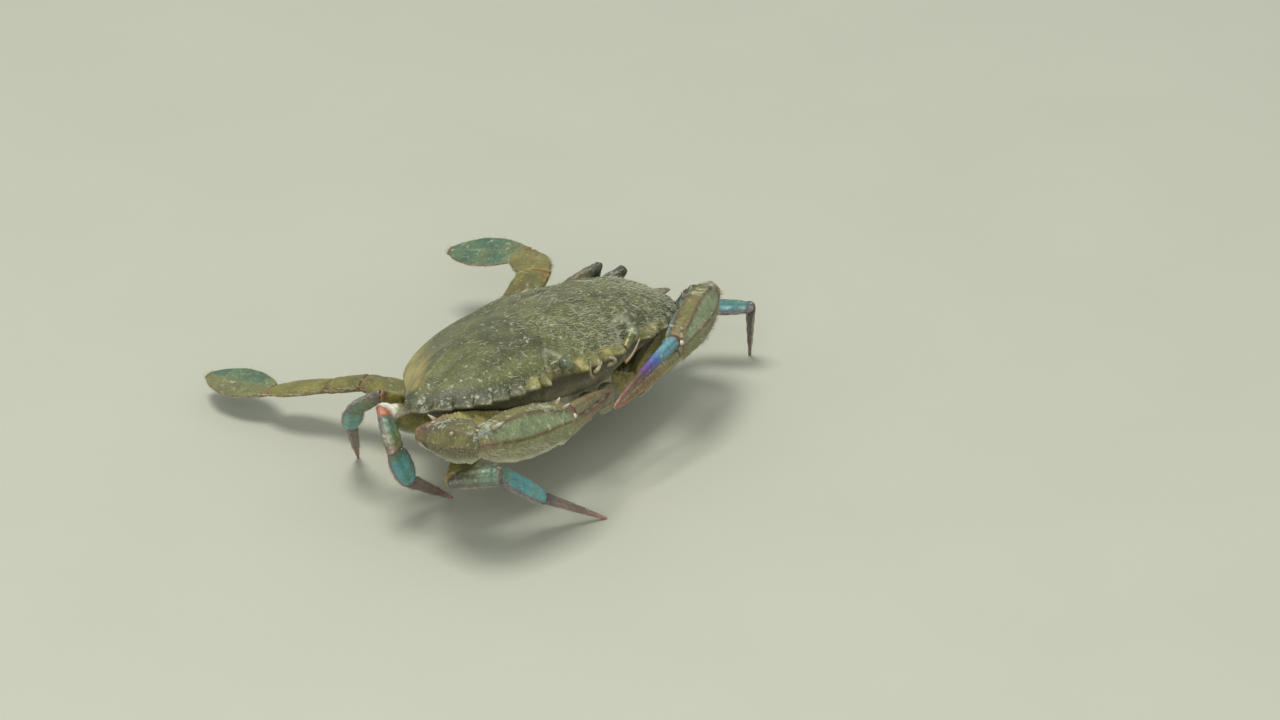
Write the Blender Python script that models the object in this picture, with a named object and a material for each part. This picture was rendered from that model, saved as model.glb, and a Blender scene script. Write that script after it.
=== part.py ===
"""A blue swimming crab at life size, as a still model that stands on its walking legs.

The crab faces -Y, its left side is +X, and the floor is Z = 0. Lengths are metres. Sizes of the body are
fractions of SPAN, the width across the tips of the two side spines. Every shell piece is a solid of its
own, and pieces that meet at a joint keep GAP between two parallel faces.
"""

import math

import bmesh
import bpy
from mathutils import Matrix, Vector

SPAN = 0.150
GAP = 0.0003

# The body: where its centre stands, and how far it is tipped front up and right side up.
BODY_CENTRE = Vector((-0.0092, -0.0303, 0.036))
FRONT_UP = math.radians(11.5)
RIGHT_UP = math.radians(6.5)

# Heights in the body, measured from the rim of the carapace.
DOME_HEIGHT = 0.118
CARAPACE_FLOOR = -0.060
SOCKET_HEIGHT = -0.088
STERNUM_FLOOR = -0.126

# The thorax is a ring of flat sockets round an oval, five on a side.
THORAX_HALF_WIDTH = 0.190
THORAX_HALF_LENGTH = 0.160
SOCKET_CORNERS = (-62, -36, -12, 12, 36, 62)

SHELL = "olive_shell"
UNDERSIDE = "pale_underside"
LEG = "blue_leg"
PADDLE = "teal_paddle"
FINGER = "orange_finger"
EYE = "dark_eye"

COLOURS = {
    SHELL: (0.150, 0.165, 0.075),
    UNDERSIDE: (0.62, 0.62, 0.52),
    LEG: (0.060, 0.230, 0.270),
    PADDLE: (0.160, 0.230, 0.160),
    FINGER: (0.420, 0.190, 0.090),
    EYE: (0.030, 0.028, 0.022),
}

# Segments of each kind of limb, from the body outwards: name and length.
CLAW = (("ischium", 0.070), ("merus", 0.280), ("carpus", 0.140), ("palm", 0.255), ("dactyl", 0.235))
WALKING = (("ischium", 0.055), ("merus", 0.215), ("carpus", 0.095), ("propodus", 0.140), ("dactyl", 0.165))
SWIMMING = (("ischium", 0.050), ("merus", 0.165), ("carpus", 0.088), ("propodus", 0.145), ("dactyl", 0.190))

# Pose: for each segment its heading, in degrees from the crab's left towards its back, and its rise.
# A rise of None brings the segment's tip down to the floor.
POSES = {
    "claw_r": ((-163, 2), (166, 15), (-99, 14), (-11, -9), (14, -11)),
    "claw_l": ((-16, -28), (14, 5), (-106, 48), (-161, -1), (-179, -11)),
    "leg2_r": ((-206, -19), (-162, -2), (-51, 6), (-21, -39), (-30, None)),
    "leg2_l": ((13, -20), (13, -3), (-17, 20), (-57, 1), (36, None)),
    "leg3_r": ((173, -16), (157, 27), (-128, -30), (17, -54), (-4, None)),
    "leg3_l": ((38, -26), (37, 17), (-20, 17), (60, -55), (188, None)),
    "leg4_r": ((153, -4), (169, 35), (90, -38), (42, -44), (30, None)),
    "leg4_l": ((36, -15), (33, 23), (-20, 14), (40, -45), (161, None)),
    "paddle_r": ((102, -5), (101, 2), (103, -17), (103, -16), (86, -8)),
    "paddle_l": ((49, -7), (39, 29), (5, 17), (47, -9), (101, -10)),
}
# A standing tip ends this high on its centre line, and the floor cuts it to a small flat.
TIP_HEIGHT = 0.0001
FOURTH_LEG_SCALE = 0.95
FOURTH_LEG_GIRTH = 0.88
LEFT_CLAW_SCALE = 0.97
LEFT_CLAW_GIRTH = 0.92

# Stations of each segment: place along it, then half height and half width of the section.
WALKING_SECTIONS = {
    "ischium": ((0, 0.021, 0.017), (1, 0.024, 0.018)),
    "merus": (
        (0, 0.021, 0.016), (0.15, 0.026, 0.018), (0.55, 0.029, 0.019), (0.88, 0.027, 0.018), (1, 0.021, 0.015),
    ),
    "carpus": ((0, 0.019, 0.014), (0.35, 0.023, 0.016), (0.8, 0.025, 0.017), (1, 0.020, 0.014)),
    "propodus": ((0, 0.019, 0.012), (0.25, 0.025, 0.014), (0.7, 0.024, 0.014), (1, 0.017, 0.011)),
    "dactyl": (
        (0, 0.016, 0.010), (0.2, 0.016, 0.0105), (0.6, 0.0105, 0.007), (0.9, 0.005, 0.004), (1, 0.0035, 0.0035),
    ),
}
SWIMMING_SECTIONS = {
    "ischium": ((0, 0.022, 0.024), (1, 0.022, 0.027)),
    "merus": ((0, 0.020, 0.028), (0.25, 0.020, 0.040), (0.7, 0.018, 0.045), (1, 0.015, 0.034)),
    "carpus": ((0, 0.015, 0.028), (0.4, 0.016, 0.036), (0.8, 0.015, 0.037), (1, 0.012, 0.030)),
    "propodus": ((0, 0.012, 0.028), (0.3, 0.012, 0.043), (0.7, 0.010, 0.044), (1, 0.008, 0.026)),
    "dactyl": (
        (0, 0.008, 0.019), (0.1, 0.007, 0.033), (0.35, 0.0055, 0.050), (0.62, 0.0045, 0.051),
        (0.85, 0.0035, 0.034), (0.96, 0.003, 0.017), (1, 0.0025, 0.008),
    ),
}
CLAW_SECTIONS = {
    "ischium": ((0, 0.026, 0.028), (1, 0.032, 0.031)),
    "merus": (
        (0, 0.032, 0.029), (0.25, 0.040, 0.035), (0.7, 0.047, 0.040), (0.92, 0.044, 0.037), (1, 0.034, 0.030),
    ),
    "carpus": (
        (0, 0.034, 0.030), (0.3, 0.043, 0.039), (0.7, 0.047, 0.043), (0.92, 0.041, 0.037), (1, 0.034, 0.030),
    ),
    "palm": (
        (0, 0.034, 0.029), (0.1, 0.044, 0.036), (0.35, 0.056, 0.043),
        (0.62, 0.056, 0.042), (0.86, 0.046, 0.034), (1, 0.038, 0.029),
    ),
}
# A finger's section is half as tall as the palm's end at its root. The moving one lies over the fixed one.
FINGER_SECTIONS = (
    (0, 0.018), (0.08, 0.0185), (0.25, 0.0172), (0.5, 0.0142), (0.72, 0.0106), (0.88, 0.0075), (1, 0.0035),
)
FINGER_CLEARANCE = 0.002
FINGER_BOW = 0.004
PALM_STEP = 0.0004


def new_material(name):
    material = bpy.data.materials.new(name)
    material.use_nodes = True
    shader = material.node_tree.nodes["Principled BSDF"]
    shader.inputs["Base Color"].default_value = (*COLOURS[name], 1)
    shader.inputs["Roughness"].default_value = 0.15 if name == EYE else 0.45
    shader.inputs["Metallic"].default_value = 0
    return material


def new_node(name, bm, material, place=None, parent=None):
    """One named solid made from a bmesh, which is used up."""
    mesh = bpy.data.meshes.new(name)
    bm.to_mesh(mesh)
    bm.free()
    mesh.materials.append(bpy.data.materials[material])
    mesh.shade_smooth()
    mesh.set_sharp_from_angle(angle=math.radians(40))
    node = bpy.data.objects.new(name, mesh)
    bpy.data.collections["blue_swimming_crab"].objects.link(node)
    if parent:
        node.parent = parent
    if place:
        node.matrix_world = place
    return node


def bridge(bm, rings):
    """Closes a stack of equal rings, each anticlockwise as seen from the last one, into one body."""
    for low, high in zip(rings, rings[1:]):
        for i in range(len(low)):
            j = (i + 1) % len(low)
            bm.faces.new((low[i], low[j], high[j], high[i]))
    bm.faces.new(rings[0][::-1])
    bm.faces.new(rings[-1])


def loft(centres, sizes, sides, up=Vector((0, 0, 1)), ways=None):
    """A body of oval sections: each has a centre and (half height towards up, half width).

    Each section is square to its own way, or else to the line between its neighbours.
    """
    bm = bmesh.new()
    rings = []
    last = len(centres) - 1
    for i, (centre, (half_height, half_width)) in enumerate(zip(centres, sizes)):
        along = ways[i] if ways else (centres[min(i + 1, last)] - centres[max(i - 1, 0)]).normalized()
        across = up.cross(along).normalized()
        above = along.cross(across)
        ring = []
        for k in range(sides):
            turn = 2 * math.pi * (k + 0.5) / sides
            offset = across * (half_width * math.cos(turn)) + above * (half_height * math.sin(turn))
            ring.append(bm.verts.new(centre + offset))
        rings.append(ring)
    bridge(bm, rings)
    return bm


def trim(bm, point, outward):
    """Cuts off what lies on the outward side of a plane, and closes the cut with one flat face."""
    geometry = bm.verts[:] + bm.edges[:] + bm.faces[:]
    bmesh.ops.bisect_plane(
        bm, geom=geometry, dist=1e-7, plane_co=point, plane_no=outward, clear_outer=True
    )
    rim = [edge for edge in bm.edges if edge.is_boundary]
    if rim:
        bmesh.ops.holes_fill(bm, edges=rim, sides=0)


# Carapace ---------------------------------------------------------------------------------------------

CARAPACE_MIDDLE = Vector((0.0, -0.010, 0.0))
SPINE_ROOT = (0.445, -0.022)
SPINE_TIP = (0.500, -0.012)


def front_margin():
    """From the midline to the outer tooth of the eye socket: (x, y of the margin, reach of a tooth)."""
    return [
        (0.000, -0.192, 0.000), (0.024, -0.194, 0.014), (0.044, -0.193, 0.000), (0.066, -0.191, 0.018),
        (0.084, -0.186, 0.002), (0.098, -0.174, 0.000), (0.130, -0.166, 0.000), (0.160, -0.168, 0.000),
        (0.182, -0.178, 0.020),
    ]


def saw_margin(teeth=7, bulge=0.0436, reach=0.013):
    """The saw-toothed side margin, bowed outwards from the eye socket to the side spine."""
    points = []
    start, end = Vector((0.192, -0.176)), Vector(SPINE_ROOT)
    outward = Vector((end - start).yx)
    outward.y = -outward.y
    outward.normalize()
    for i in range(teeth):
        for step, out in ((0.10, -0.002), (0.45, reach)):
            along = (i + step) / (teeth + 0.1)
            at = start.lerp(end, along) + outward * bulge * math.sin(math.pi * along)
            points.append((at.x, at.y, out))
    return points


def rear_margin():
    """Behind the side spine: a nearly straight side, a round corner and a straight rear edge."""
    side = [(0.436, 0.012), (0.385, 0.042), (0.330, 0.082), (0.275, 0.130), (0.225, 0.172)]
    corner = [(0.192, 0.190), (0.155, 0.199)]
    rear = [(0.085, 0.202), (0.0, 0.200)]
    return [(x, y, 0.0) for x, y in side + corner + rear]


def whole_margin():
    """(smooth margin, reach of the tooth there) all round, starting at the front on the midline."""
    half = front_margin() + saw_margin() + [(*SPINE_ROOT, 0.004), (SPINE_ROOT[0], -0.010, 0.0)]
    half += rear_margin()
    mirrored = [(-x, y, out) for x, y, out in half[-2:0:-1]]
    return [(Vector((x, y, 0)), out) for x, y, out in half + mirrored]


def toothed(point, reach):
    """Moves a point of the margin out to the tip of its tooth, square to an oval through it."""
    if abs(abs(point.x) - SPINE_ROOT[0]) < 1e-6 and point.y > -0.015:
        return Vector((math.copysign(SPINE_TIP[0], point.x), SPINE_TIP[1], 0))
    outward = Vector((point.x / 0.25, point.y / 0.04, 0)).normalized()
    return point + outward * reach


def mouth_frame(point):
    """1 over the mouth, where the shell below the margin stands nearly upright, fading to 0 at the sides."""
    if point.y > 0:
        return 0
    return min(max((0.20 - abs(point.x)) / 0.06, 0), 1)


def carapace(body):
    margin = whole_margin()
    bm = bmesh.new()

    def ring(scale, front_scale, height, reach=False):
        ringed = []
        for point, out in margin:
            size = scale + (front_scale - scale) * mouth_frame(point)
            at = toothed(point, out) if reach else point
            at = CARAPACE_MIDDLE + (at - CARAPACE_MIDDLE) * size
            ringed.append(bm.verts.new((at.x, at.y, height)))
        return ringed

    rings = [ring(0.66, 0.80, CARAPACE_FLOOR), ring(0.82, 0.93, -0.036), ring(0.95, 0.985, -0.012)]
    rings.append(ring(1.0, 1.0, 0.0, reach=True))
    for scale in (0.94, 0.84, 0.68, 0.46, 0.22):
        rings.append(ring(scale, scale, DOME_HEIGHT * (1 - scale**2) ** 0.7))
    bridge(bm, rings)
    bm.transform(Matrix.Scale(SPAN, 4))
    return new_node("carapace", bm, SHELL, parent=body)


# Underside --------------------------------------------------------------------------------------------


def socket_corner(number, side):
    """Corner between two limb sockets, in plan. 0 is in front of the claw, 5 is behind the paddle."""
    turn = math.radians(SOCKET_CORNERS[number])
    return Vector((side * THORAX_HALF_WIDTH * math.cos(turn), THORAX_HALF_LENGTH * math.sin(turn), 0))


def socket(number, side):
    """Centre of a limb's flat socket and its outward direction, in the body. 0 is the claw's."""
    front, back = socket_corner(number, side), socket_corner(number + 1, side)
    centre = (front + back) / 2 + Vector((0, 0, SOCKET_HEIGHT))
    outward = (back - front).cross(Vector((0, 0, side))).normalized()
    return centre, outward


def sternum(body):
    corners = [socket_corner(i, 1) for i in range(6)] + [socket_corner(i, -1) for i in reversed(range(6))]
    bm = bmesh.new()
    rings = []
    for height, scale in (
        (STERNUM_FLOOR, 0.84), (STERNUM_FLOOR + 0.018, 1.0), (CARAPACE_FLOOR - 0.002, 1.0)
    ):
        rings.append([bm.verts.new((p.x * scale, p.y * scale, height)) for p in corners])
    bridge(bm, rings)
    bm.transform(Matrix.Scale(SPAN, 4))
    return new_node("sternum", bm, UNDERSIDE, parent=body)


def abdomen(body):
    """The apron: a thin plate that starts under the rear edge and lies folded forward on the sternum."""
    path = [
        (0.184, -0.066, 0.098), (0.178, -0.096, 0.100), (0.156, -0.126, 0.100), (0.118, -0.138, 0.106),
        (0.060, -0.138, 0.110), (0.006, -0.138, 0.086), (-0.040, -0.138, 0.050), (-0.068, -0.138, 0.018),
    ]
    centres = [Vector((0, y, z)) for y, z, _ in path]
    sizes = [(half_width, 0.0065) for _, _, half_width in path]
    bm = loft(centres, sizes, 10, up=Vector((1, 0, 0)))
    bm.transform(Matrix.Scale(SPAN, 4))
    return new_node("abdomen", bm, UNDERSIDE, parent=body)


def maxilliped(body, side, name):
    """One of the two plates that close the mouth, hung just in front of the sternum."""
    top, foot = Vector((side * 0.035, -0.166, -0.066)), Vector((side * 0.037, -0.158, -0.128))
    stations = ((0, 0.016), (0.12, 0.028), (0.8, 0.031), (1, 0.022))
    centres = [top.lerp(foot, along) for along, _ in stations]
    sizes = [(0.009, half_width) for _, half_width in stations]
    bm = loft(centres, sizes, 10, up=Vector((0, -1, 0)))
    bm.transform(Matrix.Scale(SPAN, 4))
    return new_node(name, bm, UNDERSIDE, parent=body)


def eye(body, side, name):
    """A round eye on a short stalk that lies in its notch of the front margin."""
    inner, outer = Vector((side * 0.088, -0.190, 0.004)), Vector((side * 0.130, -0.186, 0.034))
    stations = ((0, 0.008), (0.35, 0.010), (0.52, 0.0150), (0.72, 0.0175), (0.9, 0.0135), (1, 0.006))
    centres = [inner.lerp(outer, along) for along, _ in stations]
    sizes = [(radius, radius) for _, radius in stations]
    bm = loft(centres, sizes, 12)
    bm.transform(Matrix.Scale(SPAN, 4))
    return new_node(name, bm, EYE, parent=body)


def antenna(body, side, name):
    """A short whip from beside the mouth, swept forward and out."""
    centres, sizes = [], []
    for i in range(7):
        along = i / 6
        outwards = side * (0.058 + 0.034 * along)
        centres.append(Vector((outwards, -0.207 - 0.022 * along, -0.020 + 0.046 * along**1.3)))
        sizes.append((0.0048 - 0.0026 * along,) * 2)
    bm = loft(centres, sizes, 6)
    bm.transform(Matrix.Scale(SPAN, 4))
    return new_node(name, bm, FINGER, parent=body)


# Limbs ------------------------------------------------------------------------------------------------


def direction(heading, rise):
    heading, rise = math.radians(heading), math.radians(rise)
    return Vector((math.cos(heading) * math.cos(rise), math.sin(heading) * math.cos(rise), math.sin(rise)))


def joints_of(name, root, segments, scale):
    """Points from the socket to the limb's tip."""
    points = [root]
    for (_, length), (heading, rise) in zip(segments, POSES[name]):
        length *= scale * SPAN
        if rise is None:
            rise = -math.degrees(math.asin((points[-1].z - TIP_HEIGHT) / length))
        points.append(points[-1] + direction(heading, rise) * length)
    return points


def frame_along(start, end, up):
    """Placement with X along a segment, Z towards up, and its origin on the inner joint."""
    along = (end - start).normalized()
    across = up.cross(along).normalized()
    above = along.cross(across)
    return Matrix.Translation(start) @ Matrix((along, across, above)).transposed().to_4x4()


def segment_body(length, sections, sides, before, after, girth):
    """Oval sections along X, carried past both joints so that the cuts there go right through."""
    centres, sizes = [], []
    first, final = sections[0], sections[-1]
    if before:
        centres.append(Vector((-before, 0, 0)))
        sizes.append((0.85 * first[1] * girth, 0.85 * first[2] * girth))
    for along, half_height, half_width in sections:
        centres.append(Vector((along * length, 0, 0)))
        sizes.append((half_height * girth, half_width * girth))
    if after:
        centres.append(Vector((length + after, 0, 0)))
        sizes.append((0.85 * final[1] * girth, 0.85 * final[2] * girth))
    return loft(centres, sizes, sides)


def overrun(bend, half_size):
    """How far a segment runs past a joint, so that a cut at half the bend leaves a full face."""
    return min(math.tan(bend / 2), 0.9) * half_size * SPAN + 0.0006


def finger_sections(length, way, palm_way, side, girth):
    """Centres, sizes and ways of one finger's sections. side is 1 for the moving finger, -1 for the fixed."""
    centres, sizes, ways = [], [], []
    for along, half in FINGER_SECTIONS:
        lift = half + FINGER_CLEARANCE + FINGER_BOW * math.sin(math.pi * along)
        centres.append(way * (length * along) + Vector((0, 0, side * lift * girth)))
        sizes.append((half * girth, half * 0.85 * girth))
        ways.append(palm_way.lerp(way, min(along / 0.3, 1)).normalized())
    return centres, sizes, ways


def palm_body(length, finger_length, finger_way, sections, before, girth):
    """The palm with its fixed finger, which leaves the lower half of the palm's end."""
    stations = ((-before / length, 0.028, 0.024), *sections)
    centres = [Vector((along * length, 0, 0)) for along, _, _ in stations]
    sizes = [(half_height * girth, half_width * girth) for _, half_height, half_width in stations]
    ahead = Vector((1, 0, 0))
    finger = finger_sections(finger_length, finger_way, ahead, -1, girth)
    finger_centres = [centre + ahead * (length + PALM_STEP) for centre in finger[0]]
    ways = [ahead] * len(centres) + finger[2]
    return loft(centres + finger_centres, sizes + finger[1], 12, ways=ways)


def finger_body(length, palm_way, girth):
    """The moving finger, which starts on the upper half of the palm's end."""
    centres, sizes, ways = finger_sections(length, Vector((1, 0, 0)), palm_way, 1, girth)
    centres = [centre + palm_way * (PALM_STEP + GAP) for centre in centres]
    return loft(centres, sizes, 12, ways=ways)


def limb(name, body, number, side, segments, sections, sides, material, scale=1.0, girth=1.0, face=None):
    """All segments of one limb. A swimming leg or claw has a face: the way up of its arm and of its last segment."""
    girth = girth * SPAN
    root, outward = socket(number, side)
    turned = body.matrix_world.to_3x3()
    root = body.matrix_world @ (root * SPAN)
    outward = turned @ outward
    joints = joints_of(name, root + outward * GAP, segments, scale)
    ways = [(b - a).normalized() for a, b in zip(joints, joints[1:])]
    if face is None:
        # The leg's sections are tall in the plane in which it bends.
        normal = (joints[0] - joints[2]).cross(joints[-1] - joints[2]).normalized()

    for i, (part, _) in enumerate(segments):
        start, end = joints[i], joints[i + 1]
        length = (end - start).length
        up = face[part == "dactyl"] if face is not None else normal.cross(ways[i])
        place = frame_along(start, end, up)
        bend_before = ways[i - 1].angle(ways[i]) if i else 0
        bend_after = ways[i].angle(ways[i + 1]) if i < len(ways) - 1 else 0
        if name.startswith("claw") and part == "dactyl":
            bm = finger_body(length, place.to_3x3().inverted() @ ways[i - 1], girth)
        elif part == "palm":
            finger_way = place.to_3x3().inverted() @ ways[i + 1]
            before = overrun(bend_before, 0.036)
            bm = palm_body(length, (joints[-1] - end).length, finger_way, sections[part], before, girth)
        else:
            stations = sections[part]
            last = i == len(segments) - 1
            before = overrun(bend_before, max(stations[0][1:])) if i else 0.004
            after = 0 if last else overrun(bend_after, max(stations[-1][1:]))
            bm = segment_body(length, stations, sides, before, after, girth)
        bm.transform(place)
        if i == 0:
            trim(bm, root + outward * GAP, -outward)
        elif not (name.startswith("claw") and part == "dactyl"):
            trim(bm, start + (ways[i - 1] + ways[i]).normalized() * GAP / 2, -(ways[i - 1] + ways[i]))
        if i < len(ways) - 1 and part != "palm":
            trim(bm, end - (ways[i] + ways[i + 1]).normalized() * GAP / 2, ways[i] + ways[i + 1])
        if POSES[name][-1][1] is None or part == "dactyl":
            trim(bm, Vector((0, 0, 0)), Vector((0, 0, -1)))
        bm.transform(place.inverted())
        colour = FINGER if name.startswith("claw") and part == "dactyl" else material
        new_node(f"{name}_{part}", bm, colour, place=place)


def build():
    for leftover in list(bpy.data.objects):
        bpy.data.objects.remove(leftover)
    collection = bpy.data.collections.new("blue_swimming_crab")
    bpy.context.scene.collection.children.link(collection)
    for name in COLOURS:
        new_material(name)

    body = bpy.data.objects.new("body", None)
    collection.objects.link(body)
    body.location = BODY_CENTRE
    body.rotation_euler = (-FRONT_UP, RIGHT_UP, 0)
    bpy.context.view_layer.update()

    carapace(body)
    sternum(body)
    abdomen(body)
    for side, letter in ((1, "l"), (-1, "r")):
        maxilliped(body, side, f"maxilliped_{letter}")
        eye(body, side, f"eye_{letter}")
        antenna(body, side, f"antenna_{letter}")
        scale, girth = (LEFT_CLAW_SCALE, LEFT_CLAW_GIRTH) if side > 0 else (1.0, 1.0)
        upright = (Vector((0, 0, 1)), Vector((0, 0, 1)))
        limb(f"claw_{letter}", body, 0, side, CLAW, CLAW_SECTIONS, 12, SHELL, scale, girth, upright)
        for number in (2, 3, 4):
            scale, girth = (FOURTH_LEG_SCALE, FOURTH_LEG_GIRTH) if number == 4 else (1.0, 1.0)
            name = f"leg{number}_{letter}"
            limb(name, body, number - 1, side, WALKING, WALKING_SECTIONS, 10, LEG, scale, girth)
        blade_up = Vector((-0.2, -0.15, 1)).normalized()
        arm_up = blade_up if side > 0 else Vector((0.10, 0.08, 1)).normalized()
        limb(f"paddle_{letter}", body, 4, side, SWIMMING, SWIMMING_SECTIONS, 10, PADDLE, face=(arm_up, blade_up))


build()
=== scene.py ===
"""The looks of a blue swimming crab, a still life-size model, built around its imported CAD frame.

The crab faces -Y, its left side is +X, and the floor is Z = 0. Lengths are metres. Sizes of the body are
fractions of SPAN, the width across the tips of the two side spines, as in the CAD.
"""

import math

import bpy
import numpy as np
from mathutils import Matrix, Vector
from mathutils.bvhtree import BVHTree


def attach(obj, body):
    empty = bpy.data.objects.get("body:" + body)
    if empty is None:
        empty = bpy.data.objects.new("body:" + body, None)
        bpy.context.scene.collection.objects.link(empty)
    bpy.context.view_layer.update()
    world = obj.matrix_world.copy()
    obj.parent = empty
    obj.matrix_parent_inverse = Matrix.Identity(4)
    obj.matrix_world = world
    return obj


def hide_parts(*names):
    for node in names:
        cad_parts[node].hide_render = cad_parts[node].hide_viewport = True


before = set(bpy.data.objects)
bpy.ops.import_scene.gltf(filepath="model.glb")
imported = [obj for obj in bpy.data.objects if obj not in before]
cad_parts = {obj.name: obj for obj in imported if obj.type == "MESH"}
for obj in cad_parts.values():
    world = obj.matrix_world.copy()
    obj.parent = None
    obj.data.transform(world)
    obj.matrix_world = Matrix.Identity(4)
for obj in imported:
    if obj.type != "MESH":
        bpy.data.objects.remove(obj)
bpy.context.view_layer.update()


# Carapace ---------------------------------------------------------------------------------------------
# The broad domed shell of the back: lime-hardened chitin, cast in one piece with its saw-toothed margin
# and its two long side spines. Low swellings lie over the organs, and fine granular lines cross them.

SPAN = 0.150
BODY_CENTRE = Vector((-0.0092, -0.0303, 0.036))
FRONT_UP = math.radians(11.5)
RIGHT_UP = math.radians(6.5)
TILT = Matrix.Rotation(RIGHT_UP, 3, "Y") @ Matrix.Rotation(-FRONT_UP, 3, "X")
BODY = Matrix.LocRotScale(BODY_CENTRE, TILT, None)

DOME_HEIGHT = 0.118
DOME_ROWS = 104
CARAPACE_FLOOR = -0.060
FLANK_ROWS = 21
# How the flank draws in below the margin: heights, and the size of its outline there and at the mouth.
FLANK_HEIGHTS = (-0.060, -0.036, -0.012, 0)
FLANK_SIZES = (0.66, 0.82, 0.95, 1.0)
MOUTH_SIZES = (0.80, 0.93, 0.985, 1.0)
CARAPACE_MIDDLE = np.array((0.0, -0.010))
SPINE_ROOT = np.array((0.445, -0.022))
SPINE_TIP = np.array((0.499, -0.012))
SPINE_BACK = (0.4455, -0.010)
SPINE_STEPS = 24
FRONT_END = np.array((0.192, -0.176))
FRONT_STEPS = 99
FRONT_MARGIN = np.array((
    (0, -0.192), (0.024, -0.194), (0.044, -0.193), (0.066, -0.191), (0.084, -0.186),
    (0.098, -0.174), (0.130, -0.166), (0.160, -0.168), (0.182, -0.178), FRONT_END,
))
# Front teeth, each with its middle, its half width and its reach: two between the eyes on each side, and
# the outer tooth of the eye socket.
FRONT_TEETH = ((0.024, 0.019, 0.014), (0.066, 0.021, 0.018), (0.183, 0.020, 0.021))
SIDE_TEETH = 7
TOOTH_STEPS = 17
SIDE_BULGE = 0.0436
SIDE_REACH = 0.0165
# The place of each side tooth's tip along it, and how far the tip leans forward.
TOOTH_TOP = 0.35
TOOTH_LEAN = 0.004
REAR_MARGIN = np.array((
    (0.436, 0.012), (0.385, 0.042), (0.330, 0.082), (0.275, 0.130), (0.225, 0.172),
    (0.192, 0.190), (0.155, 0.199), (0.085, 0.202), (0.0, 0.200),
))
REAR_POINTS = 96
# Half sizes of the oval that the margin's teeth point out of.
OVAL = np.array((0.25, 0.04))

# Swellings of the left half, each with its height, its middle and its half sizes.
SWELLINGS = (
    (0.0080, (0, -0.100), (0.105, 0.062)), (0.0075, (0, 0.062), (0.070, 0.060)),
    (0.0085, (0.245, 0.030), (0.130, 0.080)), (0.0050, (0.290, -0.085), (0.090, 0.035)),
)
# Lines of granules: start, end and bow. Grooves: start, end, bow and width.
GRANULE_LINES = (
    ((0.425, -0.020), (0.120, -0.058), -0.030), ((0.0, -0.074), (0.105, -0.064), -0.003),
    ((0.018, -0.122), (0.125, -0.112), -0.006), ((0.0, -0.020), (0.060, -0.018), 0.004),
    ((0.028, 0.050), (0.070, 0.060), -0.004), ((0.150, -0.150), (0.225, -0.128), -0.006),
    ((0.170, 0.020), (0.330, 0.050), -0.016),
)
LINE_WIDTH = 0.0042
BEAD_STEP = 0.0078
BEAD_HEIGHT = 0.0022
GROOVES = (
    ((0.225, -0.140), (0.085, -0.030), 0.018, 0.010), ((0.085, -0.035), (0.080, 0.140), 0.022, 0.009),
    ((0.0, 0.008), (0.085, -0.010), 0.004, 0.008), ((0.420, -0.045), (0.170, -0.085), -0.020, 0.008),
    ((0.0, 0.105), (0.075, 0.098), 0.004, 0.007),
)
GROOVE_DEPTH = 0.0030
SIDE_CREASE = ((0.405, 0.000), (0.285, 0.072), 0.010, 0.013)
SOCKET_MIDDLE = (0.126, -0.176)

OLIVE = (0.135, 0.142, 0.048)
GREY_OLIVE = (0.152, 0.160, 0.074)
WARM_OLIVE = (0.190, 0.175, 0.070)
# A deep olive, used for the shell's dark mottling and as painted shade in the grooves and along the saw edge.
DEEP_OLIVE_AND_SHADE = (0.062, 0.070, 0.036)
BEAD_PALE = (0.270, 0.255, 0.140)
REAR_BROWN = (0.225, 0.185, 0.060)
RIM_YELLOW = (0.460, 0.395, 0.125)
CREASE_YELLOW = (0.460, 0.340, 0.100)
LOBE_YELLOW = (0.400, 0.345, 0.115)
SOCKET_SHADE = (0.080, 0.080, 0.050)
SOCKET_LIP = (0.430, 0.430, 0.300)
TOOTH_TIP = (0.360, 0.300, 0.170)
SPINE_PALE = (0.400, 0.360, 0.260)
# Below the margin the underside is darkened as painted shade: almost black under the rim, a shaded cream down
# the flank.
UNDER_RIM_SHADE = (0.075, 0.070, 0.038)
FLANK_CREAM_SHADED = (0.230, 0.205, 0.120)
SILT_PALE = (0.440, 0.450, 0.330)
SPECK_PALE = (0.520, 0.530, 0.400)
# The way the matted hair of the back lies.
HAIR_WAY = (0.62, -0.72, 0.10)


def smoothstep(low, high, value):
    """0 up to low, 1 from high on, and a smooth rise between them."""
    share = np.clip((value - low) / (high - low), 0, 1)
    return share * share * (3 - 2 * share)


def bump(value, middle, width):
    """1 where the value is at the middle, fading on both sides over the width."""
    return np.exp(-(((value - middle) / width) ** 2))


def mix(first, second, share):
    """Colours or numbers between two others. share has one value for each point."""
    share = np.asarray(share)[..., None] if np.ndim(first) or np.ndim(second) else share
    return np.asarray(first) * (1 - share) + np.asarray(second) * share


def waves(points, size, seed):
    """A smooth irregular field from about -1 to 1, whose swells are about size across."""
    chance = np.random.default_rng(seed)
    field = 0
    for _ in range(7):
        way = chance.normal(size=3)
        way *= chance.uniform(0.7, 1.5) * math.pi / size / np.linalg.norm(way)
        field = field + np.sin(points @ way + chance.uniform(0, 2 * math.pi))
    return field / 3


def clouds(low, high, points, size, seed):
    """Patches over the points: 0 between them, 1 within, with soft edges."""
    return smoothstep(low, high, waves(points, size, seed))


def unit(vector):
    return vector / np.linalg.norm(vector)


def units(vectors):
    """Each of many vectors with a length of 1."""
    return vectors / np.linalg.norm(vectors, axis=-1)[..., None]


def softened(at, places, values, shifts):
    """A bent line read at some places, its corners rounded by reading it at shifted places too."""
    return sum(np.interp(at + shift, places, values) for shift in shifts) / len(shifts)


def softened_columns(at, places, table, shifts):
    return np.stack([softened(at, places, column, shifts) for column in table.T], 1)


def to_world(points):
    """Where points given in body fractions are in the world."""
    body = np.array(BODY)
    return (np.asarray(points) * SPAN) @ body[:3, :3].T + body[:3, 3]


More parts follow.
